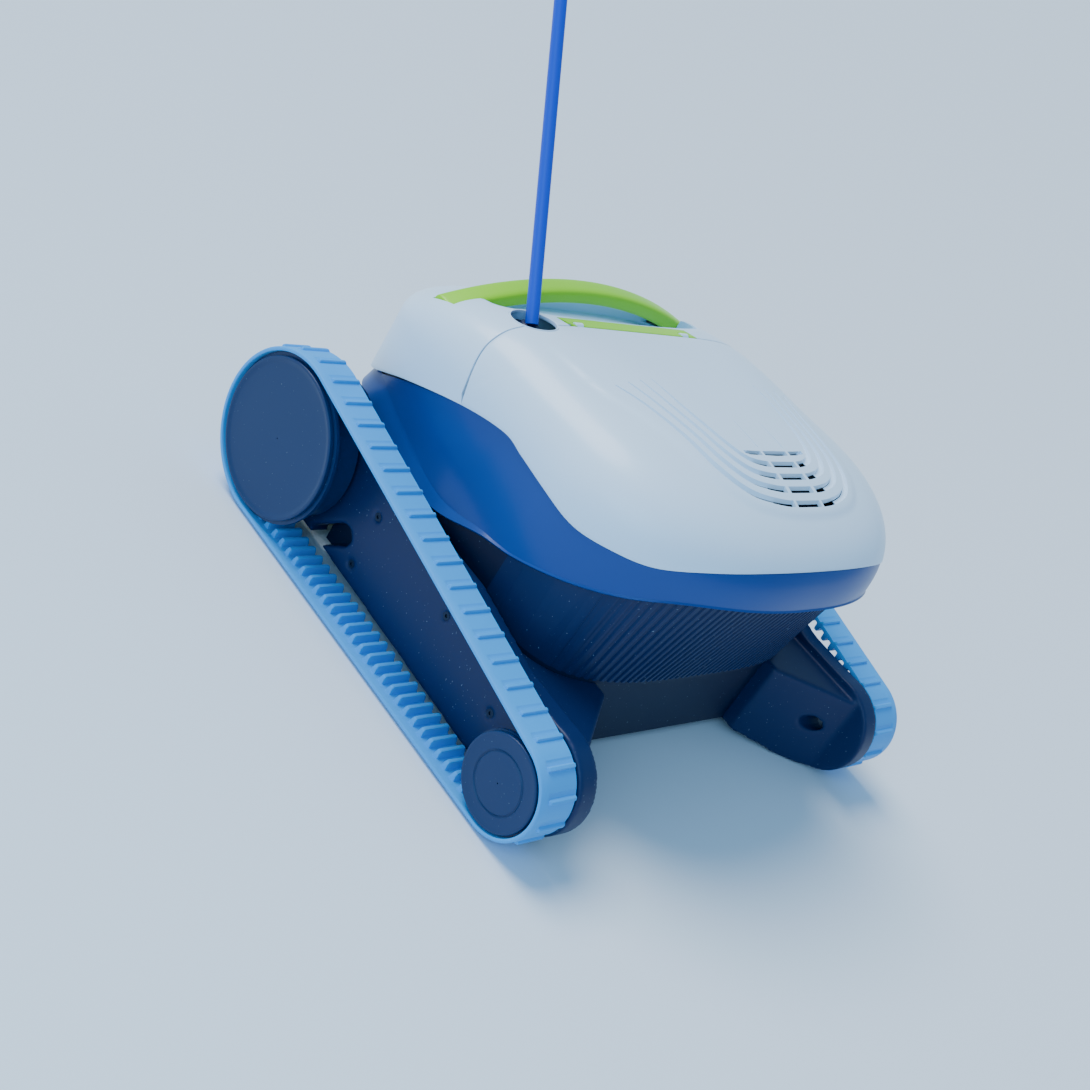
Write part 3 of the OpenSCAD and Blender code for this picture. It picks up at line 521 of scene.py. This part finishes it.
for s in (-1, 1):
    rib_line = [(s * (RIB_X - 0.6 + 0.02 * k), -46 - 1.4 * k) for k in range(20)]
    cutters.append(channel_cutter(f"rib_line_{s}", rib_line, 0, 19, lambda x, y: 0.7 + 0.03 * (-46 - y), 0.4,
                                  lambda x, y: 0.2 + 0.022 * (-46 - y)))
cut(lid, *cutters, solver="MANIFOLD")
slots = []
for k, line in enumerate(fine_lines):
    reach = 30 + 1.2 * k
    for j, (first, last) in enumerate(spans(line)):
        inside = [i for i in range(first, last + 1) if abs(line[i][0]) < reach]
        slots.append(channel_cutter(f"slot_{k}_{j}", line, inside[0], inside[-1], lambda x, y: 3.7, 1.0,
                                    lambda x, y: 7.0))
cut(lid, *slots, solver="MANIFOLD")
print("lid after the grille", len(lid.data.polygons), "faces")

# %% [markdown]
# The lid's hinge knuckles sit in notches of the lime strip behind it. They are small turned barrels on short
# arms, joined to the lid's mesh so that they swing with it. The gland's notch is cut by a plain cylinder.

# %% Knuckles, notch and ride of the lid
HINGE_Y, HINGE_Z = 70.5, dome_z(0, SEAM_Y) - 2.7
cut(lid, prism("gland_notch", circle(gland.x, gland.y, 17), 150, 260))
knuckles = []
for s in (-1, 1):
    barrel = turned("knuckle", [(-4, 1.3), (-4, 2.2), (-3.6, 2.6), (3.6, 2.6), (4, 2.2), (4, 1.3)],
                    (s * 58, HINGE_Y, HINGE_Z), (1, 0, 0), 32)
    arm = prism("knuckle_arm", [(SEAM_Y - 8, HINGE_Z - 1.2), (HINGE_Y - 1.8, HINGE_Z - 1.2),
                                (HINGE_Y - 1.8, HINGE_Z + 1.3), (SEAM_Y - 8, HINGE_Z + 1.3)],
                s * 58 - 3.9, s * 58 + 3.9, "x")
    knuckles += [barrel, arm]
lid = join("lid_shell", lid, *knuckles)
smooth(lid, 32)
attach(lid, "lid")
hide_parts("top_cover")

# %% Raised rim round the gland
rim_columns = []
for k in range(65):
    a = 2 * math.pi * k / 64
    row = []
    for r, h in ((15.7, -1.6), (15.7, 0.2), (16.0, 0.5), (16.5, 0.55), (16.8, 0.2), (16.85, -1.6)):
        x, y = gland.x + r * math.cos(a), gland.y + r * math.sin(a)
        row.append([x, y, dome_z(x, y) + h])
    rim_columns.append(row)
n_rim = len(rim_columns[0])
rim = new_piece("gland_rim", [[c * MM for c in p] for row in rim_columns[:-1] for p in row],
    [[i * n_rim + j, i * n_rim + (j + 1) % n_rim, (i + 1) % 64 * n_rim + (j + 1) % n_rim,
     (i + 1) % 64 * n_rim + j]
     for i in range(64) for j in range(n_rim)])
tidy_mesh(rim, 0.005 * MM)
smooth(rim, 40)
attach(rim, "chassis")

# %% [markdown]
# ## Rear cover
# The rear cover goes on behind the joint line, down to the same lower edge. Openings for the handle, its
# tray, the lime strip and the gland are cut out as prisms, and every edge then gets a small round, as a
# mould gives.

# %% Rear cover shell
rear_columns = []
for a in rear_span:
    top = seam_z(a) or 163
    here = surface(a, top)
    shift = next((top - 0.05 * k for k in range(200)
                  if surface(a, top - 0.05 * k)[1] > here[1] + LID_GAP * 0.9
                  or top - 0.05 * k < 161.5), top)
    rear_columns.append(column(a, edge_z(a, pale_edge) + 0.3, max(shift, edge_z(a, pale_edge) + 0.6), 52))
rear = shell("rear_shell", rear_columns, SHELL_WALL)
TRAY_Y, TRAY_A, TRAY_L, HANDLE_Y = 110.5, 110, 29.5, 122
tray_outline = superellipse(0, TRAY_Y, TRAY_A + 0.4, TRAY_L + 0.4, 3)
cut(rear, prism("strip_cut", rect(-70.4, 70.4, SEAM_Y - 4, 80.8), 150, 260),
    prism("tray_cut", tray_outline, 150, 260),
    prism("handle_cut_l", rect(-131.5, -100, HANDLE_Y - 9.4, HANDLE_Y + 9.4), 150, 260),
    prism("handle_cut_r", rect(100, 131.5, HANDLE_Y - 9.4, HANDLE_Y + 9.4), 150, 260),
    prism("gland_cut", circle(gland.x, gland.y, 17), 150, 260))
round_edges(rear, 0.6, 50)
smooth(rear, 32)
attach(rear, "chassis")
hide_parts("rear_cover")
print("rear cover faces", len(rear.data.polygons))

# %% [markdown]
# ## Skirt
# The blue band under the lid is one shell with one finish. Its main face is sunk four millimetres, and it
# flares back out to the body's line in a lighter strip along the lower edge, broad at the tail and fading out
# half way along. The columns carry that section, so the flare is in the mesh and not in a texture.

# %% Skirt shell
def skirt_point(a, share, part):
    """Part 0: flare from the lower edge; part 1: the sunk face up to the lid."""
    low, high = edge_z(a, skirt_edge), edge_z(a, pale_edge) - 0.5
    y = surface(a, low)[1]
    flare = 17 * min(1, max(0, (y + 25) / 150)) + 1.2
    sink = 3.6 * min(1, max(0, (y + 40) / 60)) + 0.9
    if part == 0:
        z = low + flare * share
        inset = sink * share
    else:
        z = low + flare + (high - low - flare) * share
        inset = sink
    sx, sy, _ = surface(a, z)
    ey = math.sin(a)
    grow = lambda v, full: v * (1 - inset / max(full, 1))
    return [grow(sx, BODY_A), MID_Y + grow(sy - MID_Y, NOSE_L if ey < 0 else TAIL_L), z]


skirt_columns = []
for a in even_angles(0, 2 * math.pi, 260)[:-1] + [2 * math.pi]:
    col = [skirt_point(a, k / 5, 0) for k in range(6)] + [skirt_point(a, k / 22, 1) for k in range(1, 23)]
    skirt_columns.append(col)
skirt = shell("skirt_shell", skirt_columns, 1.6)
round_edges(skirt, 0.4, 60)
smooth(skirt, 22)
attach(skirt, "chassis")
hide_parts("skirt_band")
print("skirt faces", len(skirt.data.polygons))

# %% [markdown]
# ## Lime hinge strip and handle
# The strip behind the lid hides the hinge. It lies on the body's surface, its left end is cut on a slant, and
# two notches make room for the knuckles. The handle is one bow with a rounded section, swept about its centre
# and flush with the shell at both ends.

# %% Hinge strip
strip_columns = []
for k in range(61):
    share = k / 60
    col = []
    for j in range(9):
        y = SEAM_Y + LID_GAP + 13.2 * j / 8
        left = -70 + 5.5 * (1 - j / 8)
        x = left + (70 - left) * share
        col.append([x, y, dome_z(x, y)])
    strip_columns.append(col)
strip = shell("hinge_strip", strip_columns, SHELL_WALL)
cut(strip, *[prism("notch", rect(s * 58 - 4.4, s * 58 + 4.4, SEAM_Y, HINGE_Y + 3.2), 150, 260)
             for s in (-1, 1)])
ears = [prism("ear", rect(HINGE_Y - 2.6, HINGE_Y + 2.8, HINGE_Z - 2.8, HINGE_Z + 0.5), s * 58 + q * 7.4 - 2.9,
              s * 58 + q * 7.4 + 2.9, "x") for s in (-1, 1) for q in (-1, 1)]
round_edges(strip, 0.6, 50)
strip = join("hinge_strip", strip, *ears)
smooth(strip, 32)
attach(strip, "chassis")
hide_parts("hinge_trim")

# %% Handle bow
HANDLE_HALF, HANDLE_RISE, HANDLE_H, HANDLE_W = 131, 25, 12, 18
bow_r = (HANDLE_HALF ** 2 + HANDLE_RISE ** 2) / (2 * HANDLE_RISE)
bow_z = dome_z(HANDLE_HALF, HANDLE_Y) + HANDLE_RISE - bow_r
section = superellipse(0, 0, HANDLE_W / 2, HANDLE_H / 2, 3.6, 48)
reach = HANDLE_HALF - 0.2
verts, faces, n = [], [], len(section)
for k in range(97):
    x = reach * (k / 48 - 1)
    for u, v in section:
        radius = bow_r - HANDLE_H / 2 + v
        verts.append([x * MM, (HANDLE_Y + u) * MM, (bow_z + math.sqrt(radius ** 2 - x ** 2)) * MM])
for k in range(96):
    faces += [[k * n + j, k * n + (j + 1) % n, (k + 1) * n + (j + 1) % n, (k + 1) * n + j] for j in range(n)]
faces += [list(range(n)), list(range(96 * n, 97 * n))]
handle = new_piece("handle_bow", verts, faces)
tidy_mesh(handle, 0.005 * MM)
round_edges(handle, 0.8, 60)
smooth(handle, 40)
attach(handle, "chassis")
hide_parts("handle")
print("handle crown at", round(max(v.co.z for v in handle.data.vertices) * 1000, 2), "mm")

# %% [markdown]
# ## Rubber belts
# A belt is one closed band. Its section has a smooth outer edge strip, a field of cross ridges with a shallow
# groove beside each, and rounded drive lugs inside. The section is carried round the wheels column by column.

# %% Belt
WHEEL_BASE, FRONT_R, REAR_R, BAND_T, CLEAT_H, LUG_H, CLEATS = 293, 33, 59, 3, 2, 6, 47
FRONT_Y, REAR_Y = -159.5, 133.5
FRONT_Z, REAR_Z = FRONT_R + 5, REAR_R + 5
tilt = math.atan((REAR_R - FRONT_R) / WHEEL_BASE)
rear_arc = (REAR_R + BAND_T / 2) * (math.pi + 2 * tilt)
front_arc = (FRONT_R + BAND_T / 2) * (math.pi - 2 * tilt)
LOOP = 2 * WHEEL_BASE + rear_arc + front_arc


def belt_point(s, d):
    """The belt's place in side view: s mm along the loop, d mm outside the belt's inner face."""
    s %= LOOP
    if s < WHEEL_BASE:
        return REAR_Y - s, REAR_Z - REAR_R - d
    s -= WHEEL_BASE
    if s < front_arc:
        a = math.radians(270) - s / front_arc * (math.pi - 2 * tilt)
        return FRONT_Y + (FRONT_R + d) * math.cos(a), FRONT_Z + (FRONT_R + d) * math.sin(a)
    s -= front_arc
    a = math.pi / 2 + 2 * tilt
    if s < WHEEL_BASE:
        return (FRONT_Y + (FRONT_R + d) * math.cos(a) + s * math.cos(2 * tilt),
                FRONT_Z + (FRONT_R + d) * math.sin(a) + s * math.sin(2 * tilt))
    a -= (s - WHEEL_BASE) / rear_arc * (math.pi + 2 * tilt)
    return REAR_Y + (REAR_R + d) * math.cos(a), REAR_Z + (REAR_R + d) * math.sin(a)


def shape_at(shape, share):
    for (s0, h0), (s1, h1) in zip(shape, shape[1:] + [(shape[0][0] + 1, shape[0][1])]):
        if s0 <= share <= s1:
            return h0 + (h1 - h0) * (share - s0) / max(s1 - s0, 1e-9)
    return shape[0][1]


ridge = [(0, 0), (0.12, 0), (0.135, 0.7), (0.16, 1), (0.24, 1), (0.27, 0.7), (0.28, 0.15), (0.3, -0.2),
         (0.46, -0.2), (0.49, 0)]
lug = [(0, 0), (0.2, 0.02), (0.25, 0.3), (0.28, 0.74), (0.33, 0.95), (0.42, 1), (0.55, 1), (0.62, 0.95),
       (0.67, 0.74), (0.7, 0.3), (0.74, 0.02)]
shares = sorted({round(s, 4) for s, _ in ridge} | {round((s + k) / 2, 4) for s, _ in lug for k in (0, 1)})
columns = []
for i in range(CLEATS):
    for share in shares:
        s = (i + share) * LOOP / CLEATS
        up = shape_at(ridge, share)
        down = shape_at(lug, share * 2 % 1)
        profile = []
        for x, k in ((169, 0), (169.2, 0.35), (169.9, 0.85), (171.4, 1), (190.8, 1), (192.2, 0.85),
                     (192.8, 0.35),
                     (193, 0)):
            profile.append((x, BAND_T + up * CLEAT_H * k - (0.5 if x == 169 else 0)))
        profile += [(193.6, BAND_T), (198.8, BAND_T - 0.05), (199.7, BAND_T - 0.5), (200, BAND_T - 1.2),
                    (200, 0.9),
                    (199.6, 0.25), (198.8, 0), (193.4, 0)]
        for x, k in ((193, 0.1), (192.7, 0.6), (191.8, 0.93), (190.4, 1), (171.6, 1), (170.2, 0.93),
                     (169.3, 0.6),
                     (169, 0.1)):
            profile.append((x, -down * LUG_H * k))
        columns.append([(x,) + belt_point(s, d) for x, d in profile])
n_col, n_row = len(columns), len(columns[0])
belt_right = new_piece("belt_right", [[c * MM for c in p] for col in columns for p in col],
    [[i * n_row + j, i * n_row + (j + 1) % n_row, (i + 1) % n_col * n_row + (j + 1) % n_row,
      (i + 1) % n_col * n_row + j] for i in range(n_col) for j in range(n_row)])
tidy_mesh(belt_right, 0.001 * MM)
smooth(belt_right, 35)
belt_left = mirrored(belt_right, "belt_left")
for side, belt in (("right", belt_right), ("left", belt_left)):
    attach(belt, "chassis")
    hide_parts(f"track_belt_{side}")
print("belt faces", len(belt_right.data.polygons), "loop mm", round(LOOP, 2))

# %% [markdown]
# ## Wheels
# Each wheel shows a turned disc. The rear one is dished inside a raised rim; the small front one is flat with
# a ring groove. Both have a narrow rounded edge that catches the light.

# %% Wheel covers and idler caps
rear_profile = [(0, 0.5), (0, 55), (0.5, 55.8), (3.0, 55.8), (3.5, 55.4), (3.7, 54.6), (3.5, 53.4),
                (2.9, 52.2), (2.7, 50), (2.5, 40), (2.4, 0.5)]
front_profile = [(0, 0.5), (0, 30.8), (0.4, 31.4), (3.0, 31.4), (3.5, 31.0), (3.7, 30.2), (3.6, 29.2),
                 (3.5, 28.6), (3.5, 21.0), (3.1, 20.6), (2.8, 20.0), (3.1, 19.4), (3.5, 19.0), (3.7, 0.5)]
cover_right = turned("wheel_cover_disc_right", rear_profile, (196.2, REAR_Y, REAR_Z), (1, 0, 0), 160)
cap_right = turned("idler_cap_disc_right", front_profile, (196.2, FRONT_Y, FRONT_Z), (1, 0, 0), 128)
for piece, stem, body in ((cover_right, "wheel_cover", "wheel"), (cap_right, "idler_cap", "idler")):
    smooth(piece, 30)
    twin = mirrored(piece, f"{stem}_disc_left")
    for side, disc in (("right", piece), ("left", twin)):
        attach(disc, f"{side}_{body}")
        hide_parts(f"{stem}_{side}")
wheel_discs = [bpy.data.objects[f"{stem}_disc_{side}"] for stem in ("wheel_cover", "idler_cap")
               for side in ("left", "right")]
print("wheel discs", [d.name for d in wheel_discs])

# %% [markdown]
# ## Side frames and legs
# The moulded legs are smooth, organic shapes. A merged copy of the CAD frame is remeshed evenly and relaxed,
# which rounds every edge the way a thick moulding is rounded.

# %% Side frames
source = nodes["side_frame_right"]
mesh = source.data.copy()
mesh.transform(source.matrix_world)
frame_right = bpy.data.objects.new("leg_right", mesh)
bpy.context.collection.objects.link(frame_right)
mesh.materials.clear()
tidy_mesh(frame_right, 0.01 * MM)
modify(frame_right, "REMESH", mode="VOXEL", voxel_size=1.5 * MM)
modify(frame_right, "SMOOTH", factor=0.5, iterations=7)
only(frame_right)
bpy.ops.object.shade_smooth()
frame_left = mirrored(frame_right, "leg_left")
for side, leg in (("right", frame_right), ("left", frame_left)):
    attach(leg, "chassis")
    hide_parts(f"side_frame_{side}")
print("leg faces", len(frame_right.data.polygons))

# %% [markdown]
# ## Finishes
# The machine is moulded plastic and rubber, used under water. Every finish is a Principled shader whose grain
# is set from real millimetres in Object coordinates. Dark parts carry pale specks of sand.

# %% Material tools
def linear(hex_colour):
    """sRGB hex to linear RGBA."""
    parts = [int(hex_colour[i:i + 2], 16) / 255 for i in (1, 3, 5)]
    return tuple(c / 12.92 if c <= 0.04045 else ((c + 0.055) / 1.055) ** 2.4 for c in parts) + (1,)


def add(tree, kind, values=None, **settings):
    """Adds one node, its settings and its unconnected input values."""
    item = tree.nodes.new(kind)
    for key, value in settings.items():
        setattr(item, key, value)
    for key, value in (values or {}).items():
        item.inputs[key].default_value = value
    return item


def finish_of(name, colour, rough, grain_mm=0.8, grain=0.02, specks=0.0, tone=0.06, metal=0.0, coat=0.0,
              sheen=0.0, shine=0.35):
    """A finish: an even colour with slow tone drift, fine moulded grain and, if asked, sand specks."""
    mat = bpy.data.materials.new(name)
    mat.use_nodes = True
    tree = mat.node_tree
    tree.nodes.clear()
    out = add(tree, "ShaderNodeOutputMaterial")
    body = add(tree, "ShaderNodeBsdfPrincipled", {"Metallic": metal, "Coat Weight": coat,
                                                  "Coat Roughness": 0.12,
                                                  "Sheen Weight": sheen, "IOR": 1.5,
                                                  "Specular IOR Level": shine})
    place = add(tree, "ShaderNodeTexCoord")
    drift = add(tree, "ShaderNodeTexNoise", {"Scale": 1 / 0.07, "Detail": 3.0})
    tree.links.new(place.outputs["Object"], drift.inputs["Vector"])
    base = linear(colour)
    shade = add(tree, "ShaderNodeMix", {6: tuple(c * (1 - tone) for c in base[:3]) + (1,),
                                        7: tuple(min(1, c * (1 + tone)) for c in base[:3]) + (1,)},
                data_type="RGBA")
    tree.links.new(drift.outputs[0], shade.inputs[0])
    last = shade.outputs[2]
    if specks:
        dots = add(tree, "ShaderNodeTexNoise", {"Scale": 1 / 0.0016, "Detail": 1.0})
        edge = add(tree, "ShaderNodeMapRange", {"From Min": 0.745, "From Max": 0.79, "To Max": specks})
        sand = add(tree, "ShaderNodeMix", {7: linear("#8fa3b5")}, data_type="RGBA")
        tree.links.new(place.outputs["Object"], dots.inputs["Vector"])
        tree.links.new(dots.outputs[0], edge.inputs["Value"])
        tree.links.new(edge.outputs["Result"], sand.inputs[0])
        tree.links.new(last, sand.inputs[6])
        last = sand.outputs[2]
    tree.links.new(last, body.inputs["Base Color"])
    worn = add(tree, "ShaderNodeMapRange", {"To Min": rough - 0.05, "To Max": rough + 0.05})
    tree.links.new(drift.outputs[0], worn.inputs["Value"])
    tree.links.new(worn.outputs["Result"], body.inputs["Roughness"])
    if grain:
        fine = add(tree, "ShaderNodeTexNoise", {"Scale": 1000 / grain_mm, "Detail": 2.0})
        bump = add(tree, "ShaderNodeBump", {"Strength": 0.35, "Distance": grain * MM})
        tree.links.new(place.outputs["Object"], fine.inputs["Vector"])
        tree.links.new(fine.outputs[0], bump.inputs["Height"])
        tree.links.new(bump.outputs["Normal"], body.inputs["Normal"])
    tree.links.new(body.outputs[0], out.inputs["Surface"])
    return mat


# %% The finishes
finishes = {
    # White ABS shell with a soft gloss; it takes a cool tint from the water.
    "pale_shell": finish_of("white_abs_shell", "#d6eafb", 0.34, 0.6, 0.01, tone=0.015, coat=0.1),
    # White ABS of the handle's recess; its pale blue is painted shade for the shadow that falls in the
    # recess.
    "tray_blue": finish_of("white_abs_with_painted_recess_shade", "#a9cfee", 0.4, 0.6, 0.01, tone=0.03),
    # Lime polypropylene: even, slightly waxy.
    "lime": finish_of("lime_polypropylene", "#96db12", 0.38, 0.6, 0.01, tone=0.04, coat=0.1),
    # Mid-blue gloss ABS of the skirt.
    "band_blue": finish_of("blue_gloss_abs", "#013f88", 0.32, 0.6, 0.01, tone=0.05, coat=0.08),
    # Navy moulded plastic of the legs; fine grain, a few specks of sand.
    "deep_blue": finish_of("navy_moulded_plastic", "#021f4c", 0.45, 0.7, 0.02, specks=0.5),
    # Navy tub plastic, painted darker than the legs as painted shade for the shadow under the body.
    "tub": finish_of("navy_tub_plastic_painted_shade", "#021334", 0.5, 0.8, 0.03, specks=0.6),
    # Dark blue plastic of the wheels and their disc covers.
    "wheel_blue": finish_of("wheel_blue_plastic", "#012a55", 0.42, 0.6, 0.015, specks=0.3, tone=0.05),
    # Cyan-blue rubber of the belts, matt with a soft sheen.
    "belt_rubber": finish_of("sky_blue_rubber", "#2c9fe6", 0.55, 0.5, 0.03, tone=0.06, sheen=0.1),
    # Black rubber of the pump's shaft seal.
    "seal_rubber": finish_of("black_seal_rubber", "#15181d", 0.6, 0.5, 0.02),
    # Blue foam-filled sheath of the floating cable.
    "cable_blue": finish_of("floating_cable_sheath", "#0a45c8", 0.4, 0.5, 0.01, tone=0.03),
    # Navy nylon of the cable gland and connector.
    "gland_navy": finish_of("gland_navy_nylon", "#0a1238", 0.4, 0.6, 0.015),
    # Turned stainless steel of pins, axles and screws.
    "steel": finish_of("stainless_steel", "#c3c7cc", 0.28, 0.4, 0.005, tone=0.04, metal=1.0),
    # Blackened stainless steel of the frame's outer screws, nearly lost against the navy.
    "dark_steel": finish_of("blackened_steel", "#1b2a40", 0.4, 0.4, 0.005, tone=0.04, metal=0.6),
    # Die-cast aluminium motor housings, brushed by handling.
    "motor_case": finish_of("cast_aluminium", "#8f979e", 0.42, 0.5, 0.02, tone=0.05, metal=1.0),
    # White nylon of the impeller and the brush pinion, worn by the drive pinions too.
    "white_nylon": finish_of("white_nylon", "#e4e8ea", 0.45, 0.5, 0.01, tone=0.02),
    # Pale polypropylene of the filter basket.
    "basket_plastic": finish_of("basket_polypropylene", "#cddbe6", 0.42, 0.6, 0.01, tone=0.03),
    # Woven nylon screen of the filter: fine matt cloth.
    "screen_mesh": finish_of("filter_screen_cloth", "#7f8fa0", 0.7, 0.3, 0.04, tone=0.05, sheen=0.2),
    # Yellow plastic of the brush core.
    "brush_plastic": finish_of("brush_core_plastic", "#d9d23a", 0.45, 0.6, 0.01),
    # Softer yellow rubber of the brush fins.
    "brush_rubber": finish_of("brush_fin_rubber", "#e6df4a", 0.6, 0.5, 0.02),
}
print(len(finishes), "finishes")


# %% Give every piece its finish
def dress(obj, slot_name):
    obj.data.materials.clear()
    obj.data.materials.append(finishes[slot_name])


dress(lid, "pale_shell")
dress(rear, "pale_shell")
dress(rim, "pale_shell")
dress(skirt, "band_blue")
dress(strip, "lime")
dress(handle, "lime")
dress(belt_right, "belt_rubber")
dress(belt_left, "belt_rubber")
dress(frame_right, "deep_blue")
dress(frame_left, "deep_blue")
dress(cable, "cable_blue")
dress(connector, "gland_navy")
dress(gland_piece, "gland_navy")
for disc in wheel_discs:
    dress(disc, "wheel_blue")

cad_finish = {
    # Parts under the body take the navy darkened as painted shade.
    "tub": ("chassis_tub", "motor_cap", "impeller_duct", "bottom_plate"),
    "deep_blue": ("front_rib_panel", "lid_catch", "intake_flap_left", "intake_flap_right"),
    "steel": ("hinge_pins", "flap_pins", "rear_axles", "front_axles", "pinion_shaft_left",
              "pinion_shaft_right",
              "brush_shaft", "impeller_shaft", "frame_screws", "plate_screws"),
    # The handle's recess: white ABS painted pale blue as painted shade.
    "tray_blue": ("handle_tray",),
    "motor_case": ("motor_housing", "drive_motor_left", "drive_motor_right"),
    "seal_rubber": ("shaft_seal",),
    "white_nylon": ("impeller", "drive_pinion_left", "drive_pinion_right", "brush_pinion"),
    "basket_plastic": ("filter_basket",),
    "screen_mesh": ("filter_screen_left", "filter_screen_right"),
    "lime": ("basket_grip",),
    "wheel_blue": ("drive_wheel_left", "drive_wheel_right", "idler_wheel_left", "idler_wheel_right"),
    "brush_plastic": ("brush_core",),
    "brush_rubber": ("brush_fins",),
}
for slot_name, names in cad_finish.items():
    for name in names:
        dress(nodes[name], slot_name)
nodes["frame_screws"].data.materials.clear()
nodes["frame_screws"].data.materials.append(finishes["dark_steel"])
print("dressed", sum(len(n) for n in cad_finish.values()), "CAD nodes")

# %% [markdown]
# ## Floor and light
# A plain pale floor, one broad soft key from above and behind the tail that lights the floor evenly, a cool
# fill from all round, and a low front fill that opens the shadows under the nose.

# %% Stage
bpy.ops.object.select_all(action="DESELECT")
bpy.ops.mesh.primitive_plane_add(size=80)
floor = bpy.context.object
floor.name = "floor"
floor.data.materials.append(finish_of("studio_floor", "#dfe9f2", 0.75, 2, 0.0, tone=0.0))
world = bpy.data.worlds.new("soft_studio")
bpy.context.scene.world = world
world.use_nodes = True
background = world.node_tree.nodes["Background"]
background.inputs["Color"].default_value = linear("#a6d6ff")
background.inputs["Strength"].default_value = 0.75


def soft_light(name, place, aim, size, power, colour):
    data = bpy.data.lights.new(name, "AREA")
    data.shape = "DISK"
    data.size = size
    data.energy = power
    data.color = linear(colour)[:3]
    lamp = bpy.data.objects.new(name, data)
    bpy.context.collection.objects.link(lamp)
    lamp.location = place
    lamp.rotation_euler = (Vector(aim) - Vector(place)).to_track_quat("-Z", "Y").to_euler()
    return lamp


sun_data = bpy.data.lights.new("key", "SUN")
sun_data.energy = 3.3
sun_data.angle = math.radians(32)
key = bpy.data.objects.new("key", sun_data)
bpy.context.collection.objects.link(key)
key.rotation_euler = Vector((-0.15, 0.55, 0.82)).to_track_quat("Z", "Y").to_euler()
fill = soft_light("fill", (-1.8, -0.6, 1.1), (0, 0, 0.1), 1.6, 18, "#9fd8ff")
